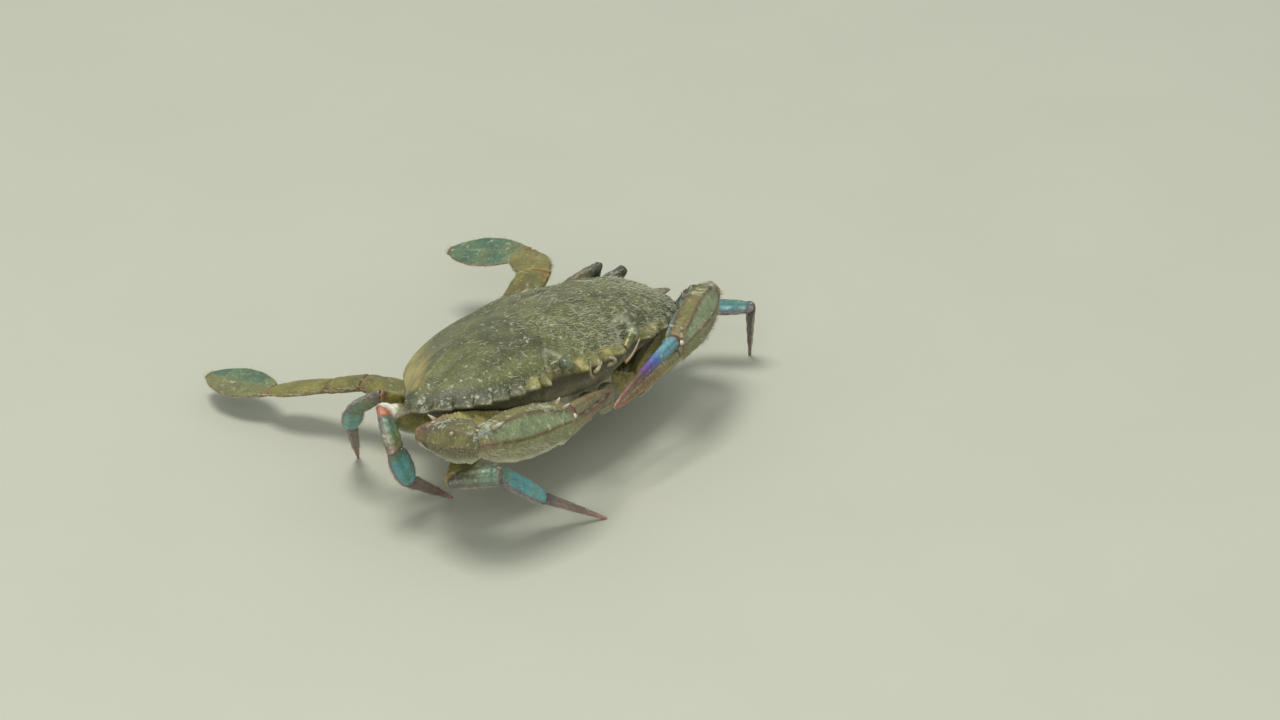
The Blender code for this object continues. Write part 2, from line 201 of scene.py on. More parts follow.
def tube(rings):
    """Points and faces of stacked rings, each anticlockwise as seen from the last, closed by fans."""
    count, sides = rings.shape[:2]
    points = np.concatenate([rings.reshape(-1, 3), [rings[0].mean(0)], [rings[-1].mean(0)]])
    here = np.arange(sides)
    after = (here + 1) % sides
    faces = []
    for row in range(count - 1):
        low, high = row * sides, (row + 1) * sides
        faces += np.stack([low + here, low + after, high + after, high + here], 1).tolist()
    last = (count - 1) * sides
    pairs = list(zip(here.tolist(), after.tolist()))
    faces += [[count * sides, second, first] for first, second in pairs]
    faces += [[count * sides + 1, last + first, last + second] for first, second in pairs]
    return points, faces


def over_tube(values):
    """Values given for each ring point, carried on to the two end points of a tube."""
    flat = values.reshape(-1, *values.shape[2:])
    return np.concatenate([flat, [values[0].mean(0)], [values[-1].mean(0)]])


def new_mesh(name, points, faces, attributes):
    """A mesh with an attribute of its points for each key: numbers, vectors or the colours called tone."""
    mesh = bpy.data.meshes.new(name)
    mesh.from_pydata(np.asarray(points).tolist(), [], faces)
    for key, values in attributes.items():
        values = np.asarray(values, np.float32)
        kind, field = ("FLOAT", "value") if values.ndim == 1 else ("FLOAT_VECTOR", "vector")
        if key == "tone":
            kind, field = "FLOAT_COLOR", "color"
            values = np.concatenate([values, np.ones((len(values), 1), np.float32)], 1)
        mesh.attributes.new(key, kind, "POINT").data.foreach_set(field, values.ravel())
    return mesh


def add_object(name, data):
    thing = bpy.data.objects.new(name, data)
    bpy.context.scene.collection.objects.link(thing)
    return thing


def add_piece(name, mesh):
    """A mesh as a piece that rides on the body."""
    piece = add_object(name, mesh)
    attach(piece, "root")
    return piece


def new_piece(name, points, faces, material, slot, replaced=(), **attributes):
    """One closed smooth piece, with a point attribute for each keyword."""
    mesh = new_mesh(name, points, faces, attributes)
    mesh.materials.append(material)
    mesh.shade_smooth()
    piece = add_piece(name, mesh)
    if replaced:
        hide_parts(*replaced)
    return piece


def fill(tree, node, inputs):
    """Fills a node's inputs, each with a plain value or with what another node gives."""
    for key, value in inputs.items():
        socket = node.inputs[key]
        if isinstance(value, bpy.types.NodeSocket):
            tree.links.new(value, socket)
        elif socket.type == "RGBA":
            socket.default_value = (*value, 1)
        else:
            socket.default_value = value


def add(tree, kind, inputs=(), **settings):
    """A new node with its settings and its inputs."""
    node = tree.nodes.new(kind)
    for key, value in settings.items():
        setattr(node, key, value)
    fill(tree, node, dict(inputs))
    return node


def maths(tree, operation, *values):
    return add(tree, "ShaderNodeMath", enumerate(values), operation=operation).outputs[0]


def attribute(tree, name, output="Fac"):
    return add(tree, "ShaderNodeAttribute", attribute_name=name).outputs[output]


def noise(tree, place, scale, detail=2.0, rough=0.5, output="Fac"):
    inputs = {"Vector": place, "Scale": scale, "Detail": detail, "Roughness": rough}
    return add(tree, "ShaderNodeTexNoise", inputs).outputs[output]


def cells(tree, place, scale, **inputs):
    """How far each place is from the middle of its cell."""
    return add(tree, "ShaderNodeTexVoronoi", {"Vector": place, "Scale": scale, **inputs}).outputs["Distance"]


def ranged(tree, value, low, high, out_low, out_high):
    """A value from low to high, brought to between two others."""
    inputs = enumerate((value, low, high, out_low, out_high))
    return add(tree, "ShaderNodeMapRange", inputs).outputs["Result"]


def blended(tree, factor, first, second, kind="MIX"):
    inputs = {0: factor, 6: first, 7: second}
    return add(tree, "ShaderNodeMix", inputs, data_type="RGBA", blend_type=kind).outputs[2]


def raised(tree, height, distance, strength):
    """A surface that looks raised as far as the height says."""
    inputs = {"Height": height, "Distance": distance, "Strength": strength}
    return add(tree, "ShaderNodeBump", inputs).outputs[0]


def new_material(name):
    """(material, node tree, shader, place on the object)."""
    material = bpy.data.materials.new(name)
    material.use_nodes = True
    tree = material.node_tree
    return material, tree, tree.nodes["Principled BSDF"], add(tree, "ShaderNodeTexCoord").outputs["Object"]


# How wide the swells of the broad and the fine mottling are, the patches of silt, and the steps of specks.
MOTTLE_SIZE = 0.0060
FINE_SIZE = 0.0011
SILT_SIZE = 0.0022
SPECK_STEP = 0.0042


def shell_material(name, granule, height, roughness, mottle=0.35, specks=0.5, gloss=0.5):
    """Chitin shell: the painted tone, mottled, with raised granules of one size and settled silt."""
    material, tree, shader, place = new_material(name)
    broad = noise(tree, place, 1 / MOTTLE_SIZE, 4, 0.55)
    fine = noise(tree, place, 1 / FINE_SIZE, 5, 0.65)
    bead = ranged(tree, cells(tree, place, 1 / granule, Randomness=0.9), 0.05, 0.55, 1, 0)
    mottled = ranged(tree, broad, 0.32, 0.68, 1 - mottle, 1 + mottle)
    shade = maths(tree, "MULTIPLY", mottled, ranged(tree, fine, 0.3, 0.7, 0.78, 1.22))
    # Painted light and shade: each granule is coloured lighter at its crown and darker round its foot.
    shade = maths(tree, "MULTIPLY", shade, ranged(tree, bead, 0, 1, 0.84, 1.14))
    grey = add(tree, "ShaderNodeCombineColor", {0: shade, 1: shade, 2: shade}).outputs[0]
    colour = blended(tree, 1, attribute(tree, "tone", "Color"), grey, "MULTIPLY")
    # Silt lies where the attribute says, in small patches with ragged edges.
    patches = ranged(tree, noise(tree, place, 1 / SILT_SIZE, 6, 0.7), 0.35, 0.75, -0.75, 0.45)
    settled = maths(tree, "ADD", attribute(tree, "silt"), patches)
    colour = blended(tree, ranged(tree, settled, 0.0, 0.35, 0.0, 0.8), colour, SILT_PALE)
    spot = ranged(tree, cells(tree, place, 1 / SPECK_STEP), 0.07, 0.13, specks, 0)
    colour = blended(tree, spot, colour, SPECK_PALE)
    rough = maths(tree, "ADD", fine, maths(tree, "MULTIPLY", settled, 0.4))
    rough = ranged(tree, rough, 0.2, 0.9, roughness - 0.12, roughness + 0.22)
    bead_height = maths(tree, "MULTIPLY", bead, height)
    bumps = maths(tree, "ADD", bead_height, maths(tree, "MULTIPLY", fine, height * 0.9))
    fill(tree, shader, {
        "Base Color": colour, "Roughness": rough, "Specular IOR Level": gloss,
        "Normal": raised(tree, bumps, 1, 0.75),
    })
    return material


carapace_shell = shell_material("carapace_shell", 0.00085, 0.00016, 0.50, mottle=0.28, specks=0.55)


def margin_half():
    """The left half of the margin, front to back: its smooth line, and the same line with its teeth."""
    x = np.linspace(0, FRONT_END[0], FRONT_STEPS + 1)[:-1]
    shifts = (-0.006, -0.003, 0, 0.003, 0.006)
    front = np.stack([x, softened(x, FRONT_MARGIN[:, 0], FRONT_MARGIN[:, 1], shifts)], 1)
    reach = np.zeros_like(x)
    for middle, half_width, tall in FRONT_TEETH:
        reach = np.maximum(reach, tall * np.clip(1 - np.abs(x - middle) / half_width, 0, 1) ** 1.15)
    front_toothed = front + units(np.stack([x / OVAL[0], front[:, 1] / OVAL[1]], 1)) * reach[:, None]

    along = np.linspace(0, 1, SIDE_TEETH * TOOTH_STEPS + 1)[:-1]
    run = SPINE_ROOT - FRONT_END
    outward = unit(np.array((run[1], -run[0])))
    saw = FRONT_END + run * along[:, None] + outward * (SIDE_BULGE * np.sin(math.pi * along))[:, None]
    # Each tooth rises slowly to its tip, drawn forward, and falls off behind it.
    phase = (along * (SIDE_TEETH + 0.1) - 0.10) % 1.0
    ahead_edge = (phase / TOOTH_TOP) ** 1.25
    behind_edge = 1 - np.clip((phase - TOOTH_TOP) / (1 - TOOTH_TOP), 0, 1) ** 1.5
    tooth = np.where(phase < TOOTH_TOP, ahead_edge, behind_edge) * (0.85 + 0.35 * along)
    square = units(saw / OVAL)
    saw_toothed = saw + (square * SIDE_REACH - unit(run) * TOOTH_LEAN) * tooth[:, None] - square * 0.002

    share = np.linspace(0, 1, SPINE_STEPS + 1)[:-1]
    corners = np.array((SPINE_ROOT, SPINE_BACK, REAR_MARGIN[0]))
    spine = softened_columns(share * 2, (0, 1, 2), corners, (0,))
    point = np.clip(1 - np.abs(share - 0.46) / 0.46, 0, 1) ** 1.55
    spine_toothed = spine + (SPINE_TIP - spine) * point[:, None]

    steps = np.concatenate([[0], np.cumsum(np.linalg.norm(np.diff(REAR_MARGIN, axis=0), axis=1))])
    at = np.linspace(0, steps[-1], REAR_POINTS)
    rear = softened_columns(at, steps, REAR_MARGIN, np.linspace(-0.018, 0.018, 7))
    rear[0], rear[-1] = REAR_MARGIN[0], REAR_MARGIN[-1]
    toothed = np.concatenate([front_toothed, saw_toothed, spine_toothed, rear])
    return np.concatenate([front, saw, spine, rear]), toothed


def whole_margin():
    return [np.concatenate([half, half[-2:0:-1] * (-1, 1)]) for half in margin_half()]


def stroke(x, y, start, end, bow, width):
    """1 along a bowed line from start to end, fading over its width; also the place along it."""
    chord = np.subtract(end, start)
    length = np.linalg.norm(chord)
    way = chord / length
    along = ((x - start[0]) * way[0] + (y - start[1]) * way[1]) / length
    off = (y - start[1]) * way[0] - (x - start[0]) * way[1] - bow * 4 * along * (1 - along)
    ends = smoothstep(-0.04, 0.06, along) * smoothstep(1.04, 0.94, along)
    return bump(off, 0, width) * ends, along


def swelling(x, y, middle, size):
    return np.exp(-(((x - middle[0]) / size[0]) ** 2) - ((y - middle[1]) / size[1]) ** 2)


def back_relief(x, y):
    """(height over the plain dome, strength of the granular lines, strength of the grooves)."""
    aside = np.abs(x)
    height = sum(tall * swelling(aside, y, middle, size) for tall, middle, size in SWELLINGS)
    beads, grooves = np.zeros_like(x), np.zeros_like(x)
    for start, end, bow in GRANULE_LINES:
        line, along = stroke(aside, y, start, end, bow, LINE_WIDTH)
        length = np.hypot(end[0] - start[0], end[1] - start[1])
        row = 0.72 + 0.28 * np.cos(2 * math.pi * along * length / BEAD_STEP)
        beads = np.maximum(beads, line * row)
    for start, end, bow, width in GROOVES:
        grooves = np.maximum(grooves, stroke(aside, y, start, end, bow, width)[0])
    return height + BEAD_HEIGHT * beads - GROOVE_DEPTH * grooves, beads, grooves


def back_tone(x, y, edge, beads, grooves, points):
    """The shell's colours: olive, greyer in the middle, yellow at front and rim; painted shade in the
    grooves, along the saw edge and in the eye sockets.
    """
    aside = np.abs(x)
    tone = mix(OLIVE, GREY_OLIVE, 0.75 * swelling(aside, y, (0.02, -0.01), (0.26, 0.12)))
    tone = mix(tone, WARM_OLIVE, 0.5 * clouds(0.2, 0.9, points, 0.017, 3))
    tone = mix(tone, DEEP_OLIVE_AND_SHADE, 0.55 * clouds(0.1, 0.9, points, 0.010, 4))
    # Painted shade: the grooves are darkened with deep olive.
    tone = mix(tone, DEEP_OLIVE_AND_SHADE, 0.35 * grooves)
    tone = mix(tone, BEAD_PALE, 0.35 * beads)
    behind = smoothstep(0.0, 0.06, y)
    tone = tone * (1 - 0.20 * smoothstep(-0.02, 0.12, y) * smoothstep(0.97, 0.80, edge))[..., None]
    tone = mix(tone, REAR_BROWN, 0.6 * smoothstep(0.06, 0.17, y) * smoothstep(0.75, 0.93, edge))
    tone = mix(tone, RIM_YELLOW, 0.75 * behind * smoothstep(0.72, 0.94, edge) * smoothstep(0.05, 0.2, aside))
    tone = mix(tone, CREASE_YELLOW, 0.60 * stroke(aside, y, *SIDE_CREASE)[0])
    # Painted shade: a dark band on top of the shell along the saw-toothed margin.
    saw_edge_shade = (1 - behind) * smoothstep(0.90, 0.965, edge) * smoothstep(0.16, 0.22, aside)
    tone = mix(tone, DEEP_OLIVE_AND_SHADE, 0.80 * saw_edge_shade)
    lobes = smoothstep(0.935, 0.970, edge) * smoothstep(0.30, 0.17, aside) * (1 - behind)
    lobes = lobes * (0.30 + 0.70 * clouds(-0.4, 0.5, points, 0.0040, 5))
    tone = mix(tone, LOBE_YELLOW, 0.80 * lobes)
    # Round each eye the socket is darkened as painted shade in its hollow, with a pale raised lip.
    away = np.hypot(aside - SOCKET_MIDDLE[0], (y - SOCKET_MIDDLE[1]) * 0.9)
    tone = mix(tone, SOCKET_SHADE, 0.7 * smoothstep(0.024, 0.016, away))
    tone = mix(tone, SOCKET_LIP, 0.7 * bump(away, 0.030, 0.004))
    tips = smoothstep(0.990, 1.0, edge) * smoothstep(0.23, 0.26, aside) * (1 - behind)
    tone = mix(tone, TOOTH_TIP, 0.5 * tips)
    return mix(tone, SPINE_PALE, 0.85 * smoothstep(0.447, 0.475, aside))


def carapace():
    """The whole shell: rows up the flank to the margin, then rows in over the dome to its middle."""
    smooth, toothed = whole_margin()
    mouth = np.where(smooth[:, 1] > 0, 0, np.clip((0.20 - np.abs(smooth[:, 0])) / 0.06, 0, 1))
    rows, plans, edges = [], [], []

    def row(size, height, teeth, edge):
        margin = smooth + (toothed - smooth) * teeth
        plan = CARAPACE_MIDDLE + (margin - CARAPACE_MIDDLE) * np.asarray(size)[..., None]
        plans.append(plan)
        rows.append(np.concatenate([plan, np.broadcast_to(height, (len(plan), 1))], 1))
        edges.append(np.full(len(smooth), edge))

    for height in np.linspace(CARAPACE_FLOOR, 0, FLANK_ROWS + 1)[:-1]:
        side = np.interp(height, FLANK_HEIGHTS, FLANK_SIZES)
        front = np.interp(height, FLANK_HEIGHTS, MOUTH_SIZES)
        row(side + (front - side) * mouth, height, smoothstep(-0.011, -0.001, height), 1.0)
    for share in np.linspace(0, 1, DOME_ROWS + 1)[:-1]:
        size = 1 - share**1.25
        row(size, DOME_HEIGHT * (1 - size**2) ** 0.7, smoothstep(0.945, 1.0, size), size)
    rings, plan, edge = np.array(rows), np.array(plans), np.array(edges)
    x, y = plan[..., 0], plan[..., 1]
    relief, beads, grooves = back_relief(x, y)
    relief[:FLANK_ROWS] = 0
    fade = smoothstep(1.0, 0.93, edge)
    rings[..., 2] += relief * fade
    points, faces = tube(to_world(rings))
    world = points[:-2].reshape(rings.shape)
    tone = back_tone(x, y, edge, beads * fade, grooves * fade, world)
    # Painted shade under the overhanging margin, darkest just below the rim and lighter down the flank.
    under = mix(tone, UNDER_RIM_SHADE, smoothstep(-0.001, -0.008, rings[..., 2]))
    under = mix(under, FLANK_CREAM_SHADED, smoothstep(-0.014, -0.050, rings[..., 2]))
    tone[:FLANK_ROWS] = under[:FLANK_ROWS]
    # Silt, matted hair and grains lie thickest on the front, on the left and along the saw edge.
    saw = smoothstep(0.93, 0.985, edge) * smoothstep(0.0, -0.03, y) * smoothstep(0.20, 0.26, np.abs(x))
    silt = 0.03 + 0.12 * saw + 0.08 * smoothstep(-0.02, -0.12, y) + 0.14 * smoothstep(0.05, 0.25, x)
    front_half = 0.85 * smoothstep(0.02, -0.10, y) * smoothstep(-0.38, 0.02, x)
    front_half = np.clip(front_half + smoothstep(-0.04, 0.14, x), 0, 1)
    patchy = 0.25 + 0.75 * clouds(-0.5, 0.6, world, 0.010, 8)
    fuzz = (0.12 + 0.88 * front_half) * smoothstep(0.995, 0.96, edge) * patchy
    grains = 0.03 + 0.9 * saw * clouds(-0.4, 0.5, world, 0.006, 9) + 0.10 * patchy * front_half
    for coating in (silt, fuzz, grains):
        coating[:FLANK_ROWS] = 0
    return new_piece(
        "carapace_back", points, faces, carapace_shell, "olive_shell", ["carapace"],
        tone=over_tube(tone), silt=over_tube(silt), fuzz=over_tube(fuzz), grains=over_tube(grains),
        skin=over_tube(np.dstack([plan + 0.5, np.zeros_like(x)])),
        lay=over_tube(np.broadcast_to(HAIR_WAY, rings.shape)),
    )


back = carapace()


# Eyes, feelers and mouth ------------------------------------------------------------------------------
# Each eye is a dark faceted ball on a short jointed stalk that lies in its notch of the margin. Between
# the eyes are two pairs of feelers, and below them two hinged plates with bristled edges close the mouth.

EYE_ROOT = np.array((0.088, -0.190, 0.004))
EYE_END = np.array((0.130, -0.186, 0.034))
EYE_BALL = np.array((0.122, -0.1865, 0.0270))
EYE_RADIUS = 0.0150
FACET_SIZE = 0.00022
FACET_DEPTH = 0.00004
STALK_RADIUS = 0.0085
STALK_ROWS, STALK_SIDES = 22, 28
BALL_ROWS, BALL_SIDES = 34, 40
# The long feeler: its root, and how far from there it reaches sideways, forward and up.
FEELER_FOOT = (0.058, -0.207, -0.020)
FEELER_RUN = (0.034, -0.022, 0.046)
FEELER_SWAY = 0.0035
FEELER_RADIUS = 0.0046
FEELER_ROWS, FEELER_SIDES = 120, 12
SHORT_FEELER_KNEES = np.array((
    (0.020, -0.180, -0.018), (0.034, -0.199, -0.014), (0.026, -0.206, -0.002), (0.014, -0.200, 0.003),
))
SHORT_FEELER_RADII = (0.0062, 0.0050, 0.0036)
MOUTH_PLATE_TOP = (0.035, -0.166, -0.066)
MOUTH_PLATE_FOOT = (0.037, -0.158, -0.128)
MOUTH_PLATE_HINGE = 0.72
MOUTH_PLATE_DEPTH = 0.0085
# Half widths at places along the mouth plate.
MOUTH_PLATE_WIDTHS = ((0, 0.016), (0.12, 0.028), (0.8, 0.031), (1, 0.020))
MOUTH_PLATE_ROWS, MOUTH_PLATE_SIDES = 46, 44

STALK_BROWN = (0.230, 0.205, 0.075)
CREAM = (0.560, 0.540, 0.400)
EYE_PALE = (0.235, 0.255, 0.170)
EYE_DARK = (0.105, 0.118, 0.085)
EYE_RING = (0.520, 0.530, 0.400)
FEELER_ROOT = (0.300, 0.200, 0.090)
FEELER_TIP = (0.500, 0.460, 0.330)
SHORT_FEELER_TONE = (0.420, 0.360, 0.200)
# The mouth plates' colours are their cream darkened as painted shade.
MOUTH_SHADE_BROWN = (0.150, 0.135, 0.070)
MOUTH_SHADED_CREAM = (0.300, 0.270, 0.170)


def eye_surface():
    """The cornea: clear and glossy over a dark grey-green net of tiny facets."""
    material, tree, shader, place = new_material("eye_facets")
    ramp = add(tree, "ShaderNodeValToRGB", {"Fac": noise(tree, place, 700, 4)})
    stops = ((0.3, (0.55, 0.58, 0.50)), (0.7, (1.25, 1.25, 1.10)))
    for stop, (position, shade) in zip(ramp.color_ramp.elements, stops):
        stop.position = position
        stop.color = (*shade, 1)
    fill(tree, shader, {
        "Base Color": blended(tree, 1, attribute(tree, "tone", "Color"), ramp.outputs["Color"], "MULTIPLY"),
        "Roughness": 0.34, "Coat Weight": 0.3, "Coat Roughness": 0.08,
        "Normal": raised(tree, cells(tree, place, 1 / FACET_SIZE), FACET_DEPTH, 0.5),
    })
    return material


eye_facets = eye_surface()
small_shell = shell_material("small_shell", 0.00045, 0.00005, 0.45, mottle=0.22, specks=0.2)
underside_shell = shell_material("underside_shell", 0.0011, 0.00005, 0.48, mottle=0.20, specks=0.0)


def across_axes(way, up=None):
    """Two directions square to a way: sideways, and the one nearest to up."""
    if up is None:
        up = (0, 0, 1) if abs(way[2]) < 0.95 else (0, 1, 0)
    side = unit(np.cross(up, way))
    return side, np.cross(way, side)


def around(sides):
    """The angles of a ring's points."""
    return np.linspace(0, 2 * math.pi, sides, endpoint=False)


def circle(sides, side, above):
    """Where a ring's points lie from its middle, anticlockwise from side to above."""
    turn = around(sides)
    return np.cos(turn)[:, None] * side + np.sin(turn)[:, None] * above


def spun(start, end, outline, sides):
    """Rings round the line from start to end. The outline lists (place along it, radius)."""
    ring = circle(sides, *across_axes(unit(end - start)))
    return np.array([start + (end - start) * place + ring * radius for place, radius in outline])


def by_row(values, sides):
    """One value for each ring, given to all points of a tube."""
    return over_tube(np.repeat(np.asarray(values)[:, None], sides, 1))


def joined(parts):
    """Several (points, faces, attributes) as one."""
    points, faces, gathered, start = [], [], {}, 0
    for some_points, some_faces, attributes in parts:
        points.append(some_points)
        faces += [[start + i for i in face] for face in some_faces]
        for key, values in attributes.items():
            gathered.setdefault(key, []).append(values)
        start += len(some_points)
    return np.concatenate(points), faces, {key: np.concatenate(values) for key, values in gathered.items()}


def joined_piece(name, parts, material, slot, replaced=()):
    points, faces, attributes = joined(parts)
    return new_piece(name, points, faces, material, slot, replaced, **attributes)


def one_tone(points, faces, tone):
    """A part all of one colour."""
    return points, faces, {"tone": np.tile(tone, (len(points), 1))}


def ways_along(line):
    """The direction of a line at each of its points, from the two points beside it."""
    last = len(line) - 1
    return units(np.array([line[min(i + 1, last)] - line[max(i - 1, 0)] for i in range(last + 1)]))


def eye(side, letter):
    centre, root, end = (place * (side, 1, 1) for place in (EYE_BALL, EYE_ROOT, EYE_END))
    stalk = [(s, STALK_RADIUS + 0.0030 * math.sin(2.2 * s) - 0.0012 * bump(s, 0.45, 0.10))
             for s in np.linspace(-0.05, 0.78, STALK_ROWS)]
    points, faces = tube(to_world(spun(root, end, stalk, STALK_SIDES)))
    place = by_row(np.linspace(0, 1, STALK_ROWS), STALK_SIDES)
    tone = mix(STALK_BROWN, OLIVE, smoothstep(0.1, 0.6, place))
    parts = [(points, faces, {"tone": mix(tone, CREAM, smoothstep(0.80, 0.92, place))})]
    length = np.linalg.norm(end - root)
    middle = (centre - root) @ (end - root) / length**2
    turns = np.linspace(-math.pi / 2 + 0.12, math.pi / 2 - 0.12, BALL_ROWS)
    ball = [(middle + math.sin(turn) * EYE_RADIUS / length, EYE_RADIUS * math.cos(turn)) for turn in turns]
    points, faces = tube(to_world(spun(root, end, ball, BALL_SIDES)))
    rise = by_row(np.sin(turns), BALL_SIDES)
    tone = mix(EYE_PALE, EYE_DARK, smoothstep(-0.4, 0.8, rise))
    parts.append((points, faces, {"tone": mix(tone, EYE_RING, 0.9 * bump(rise, -0.42, 0.12))}))
    joined_piece(f"eye_ball_{letter}", parts, eye_facets, "dark_eye", [f"eye_{letter}"])


def feeler(side, letter):
    """The long feeler: a whip of many short rings on a stout basal joint."""
    share = np.linspace(0, 1, FEELER_ROWS)
    centres = FEELER_FOOT + np.stack([share, share, share**1.3], 1) * FEELER_RUN
    centres[:, 0] += FEELER_SWAY * np.sin(share * 4.0)
    centres[:, 0] *= side
    ringed = 1 - 0.14 * (np.arange(FEELER_ROWS) % 4 == 0)
    radii = (FEELER_RADIUS - 0.0034 * share**0.7) * ringed
    rings = [centre + radius * circle(FEELER_SIDES, *across_axes(way, (0, 1, 0)))
             for centre, radius, way in zip(centres, radii, ways_along(centres))]
    points, faces = tube(to_world(np.array(rings)))
    tone = mix(FEELER_ROOT, FEELER_TIP, by_row(share, FEELER_SIDES))
    new_piece(
        f"feeler_{letter}", points, faces, small_shell, "orange_finger", [f"antenna_{letter}"], tone=tone,
    )


def short_feelers():
    """The folded inner feelers: three bent joints on each side, in the hollow under the front teeth."""
    parts = []
    for side in (1, -1):
        knees = SHORT_FEELER_KNEES * (side, 1, 1)
        for start, end, radius in zip(knees, knees[1:], SHORT_FEELER_RADII):
            outline = [(s, radius * (1 - 0.25 * s) * math.sqrt(max(1 - (2 * s - 1) ** 6, 0.02)))
                       for s in np.linspace(0.0, 1.0, 12)]
            parts.append(one_tone(*tube(to_world(spun(start, end, outline, 14))), SHORT_FEELER_TONE))
    joined_piece("short_feelers", parts, small_shell, "orange_finger")


def mouth_plate(side, letter):
    """An outer mouth plate: long, crowned, grooved down its middle, with a small joint near its foot."""
    top, foot = (np.array(place) * (side, 1, 1) for place in (MOUTH_PLATE_TOP, MOUTH_PLATE_FOOT))
    sideways, above = across_axes(unit(foot - top), (0, -1, 0))
    share = np.linspace(0, 1, MOUTH_PLATE_ROWS)
    half = np.interp(share, *zip(*MOUTH_PLATE_WIDTHS))
    half *= 1 - 0.07 * bump(share, MOUTH_PLATE_HINGE, 0.025)
    cosine, sine = np.cos(around(MOUTH_PLATE_SIDES)), np.sin(around(MOUTH_PLATE_SIDES))
    rings = []
    for place, width in zip(share, half):
        depth = MOUTH_PLATE_DEPTH * (1 - 0.28 * bump(cosine, 0, 0.22) * (sine > 0))
        depth *= 1 - 0.5 * bump(place, MOUTH_PLATE_HINGE, 0.02)
        offset = sideways * (width * cosine)[:, None] + above * (depth * sine)[:, None]
        rings.append(top + (foot - top) * place + offset)
    points, faces = tube(to_world(np.array(rings)))
    # Painted shade under the carapace: dark brown at the plate's top, a darkened cream at its foot.
    tone = mix(MOUTH_SHADE_BROWN, MOUTH_SHADED_CREAM, smoothstep(0.0, 0.9, by_row(share, MOUTH_PLATE_SIDES)))
    new_piece(
        f"mouth_plate_{letter}", points, faces, underside_shell, "pale_underside", [f"maxilliped_{letter}"],
        tone=tone,
    )


for eye_side, eye_letter in ((1, "l"), (-1, "r")):
    eye(eye_side, eye_letter)
    feeler(eye_side, eye_letter)
    mouth_plate(eye_side, eye_letter)
short_feelers()


# Breastplate and apron --------------------------------------------------------------------------------
# The cream underside that the limbs hang from: plates grown together, with a groove between each pair of
# limb sockets. The apron is the abdomen, a chain of thin plates folded forward against it.

THORAX_HALF_WIDTH = 0.190
THORAX_HALF_LENGTH = 0.160
SOCKET_HEIGHT = -0.088
# The corners between the sockets of one side, in degrees from its middle towards the back.
SOCKET_CORNERS = (-62, -36, -12, 12, 36, 62)
SOCKET_STEPS = 22
STERNUM_FLOOR = -0.1315
# The breastplate's rows: heights over its floor, and their sizes.
STERNUM_ROWS = (
    (-0.002, 0.10), (-0.002, 0.25), (-0.002, 0.40), (-0.002, 0.55), (-0.002, 0.68), (-0.002, 0.78),
    (0.0, 0.835), (0.004, 0.90), (0.010, 0.955),
    *((height, 1.0) for height in np.linspace(0.018, 0.0675, 8)),
)
# The line that the apron's plates follow: back, up, and half width.
APRON_PATH = np.array((
    (0.184, -0.066, 0.098), (0.178, -0.096, 0.100), (0.156, -0.126, 0.100), (0.118, -0.138, 0.106),
    (0.060, -0.138, 0.110), (0.006, -0.138, 0.086), (-0.040, -0.138, 0.050), (-0.068, -0.138, 0.018),
))
APRON_THICKNESS = 0.0062
APRON_ROWS, APRON_SIDES = 120, 48

STERNUM_CREAM = (0.430, 0.410, 0.280)
STERNUM_GROOVE_SHADE = (0.250, 0.220, 0.120)
APRON_CREAM = (0.450, 0.430, 0.300)
APRON_GROOVE_SHADE = (0.240, 0.220, 0.120)


def socket_corner(number, side):
    turn = math.radians(SOCKET_CORNERS[number])
    return np.array((side * THORAX_HALF_WIDTH * math.cos(turn), THORAX_HALF_LENGTH * math.sin(turn)))


def breastplate():
    corners = [socket_corner(i, 1) for i in range(6)] + [socket_corner(i, -1) for i in reversed(range(6))]
    outline, seam = [], []
    for here, there in zip(corners, corners[1:] + corners[:1]):
        for i in range(SOCKET_STEPS):
            outline.append(here + (there - here) * i / SOCKET_STEPS)
            seam.append(min(i, SOCKET_STEPS - i) / SOCKET_STEPS)
    outline, seam = np.array(outline), np.array(seam)
    notch = 1 - 0.035 * bump(seam, 0, 0.06)
    rings, grooves = [], []
    for height, size in STERNUM_ROWS:
        line = bump(seam, 0, 0.09) * min(size * 1.4, 1)
        lift = 0.003 * line * (size < 0.95)
        plan = outline * (size * notch)[:, None]
        rings.append(np.concatenate([plan, (STERNUM_FLOOR + height + lift)[:, None]], 1))
        grooves.append(line)
    points, faces = tube(to_world(np.array(rings)))
    # Painted shade: the grooves between the limb sockets are darkened.
    tone = mix(STERNUM_CREAM, STERNUM_GROOVE_SHADE, 0.6 * over_tube(np.array(grooves)))
    new_piece("breastplate", points, faces, underside_shell, "pale_underside", ["sternum"], tone=tone)


def apron():
    at = np.linspace(0, len(APRON_PATH) - 1, APRON_ROWS)
    smooth = softened_columns(at, range(len(APRON_PATH)), APRON_PATH, (-0.3, -0.15, 0, 0.15, 0.3))
    smooth[0], smooth[-1] = APRON_PATH[0], APRON_PATH[-1]
    cosine, sine = np.cos(around(APRON_SIDES)), np.sin(around(APRON_SIDES))
    lines = bump((at * 0.93 + 0.5) % 1.0, 0.5, 0.055)
    rings = []
    for (y, z, half), line, way in zip(smooth, lines, ways_along(smooth[:, :2])):
        above = np.cross((0, *way), (1, 0, 0))
        width = half * (1 - 0.035 * line)
        depth = APRON_THICKNESS * (1 - 0.42 * line) + 0.0018 * bump(cosine, 0, 0.35)
        rings.append(np.array((0, y, z)) + cosine[:, None] * (width, 0, 0) + (sine * depth)[:, None] * above)
    points, faces = tube(to_world(np.array(rings)))
    # Painted shade: the grooves between the apron's plates are darkened.
    tone = mix(APRON_CREAM, APRON_GROOVE_SHADE, 0.6 * by_row(lines, APRON_SIDES))
    new_piece("apron", points, faces, underside_shell, "pale_underside", ["abdomen"], tone=tone)


breastplate()
apron()


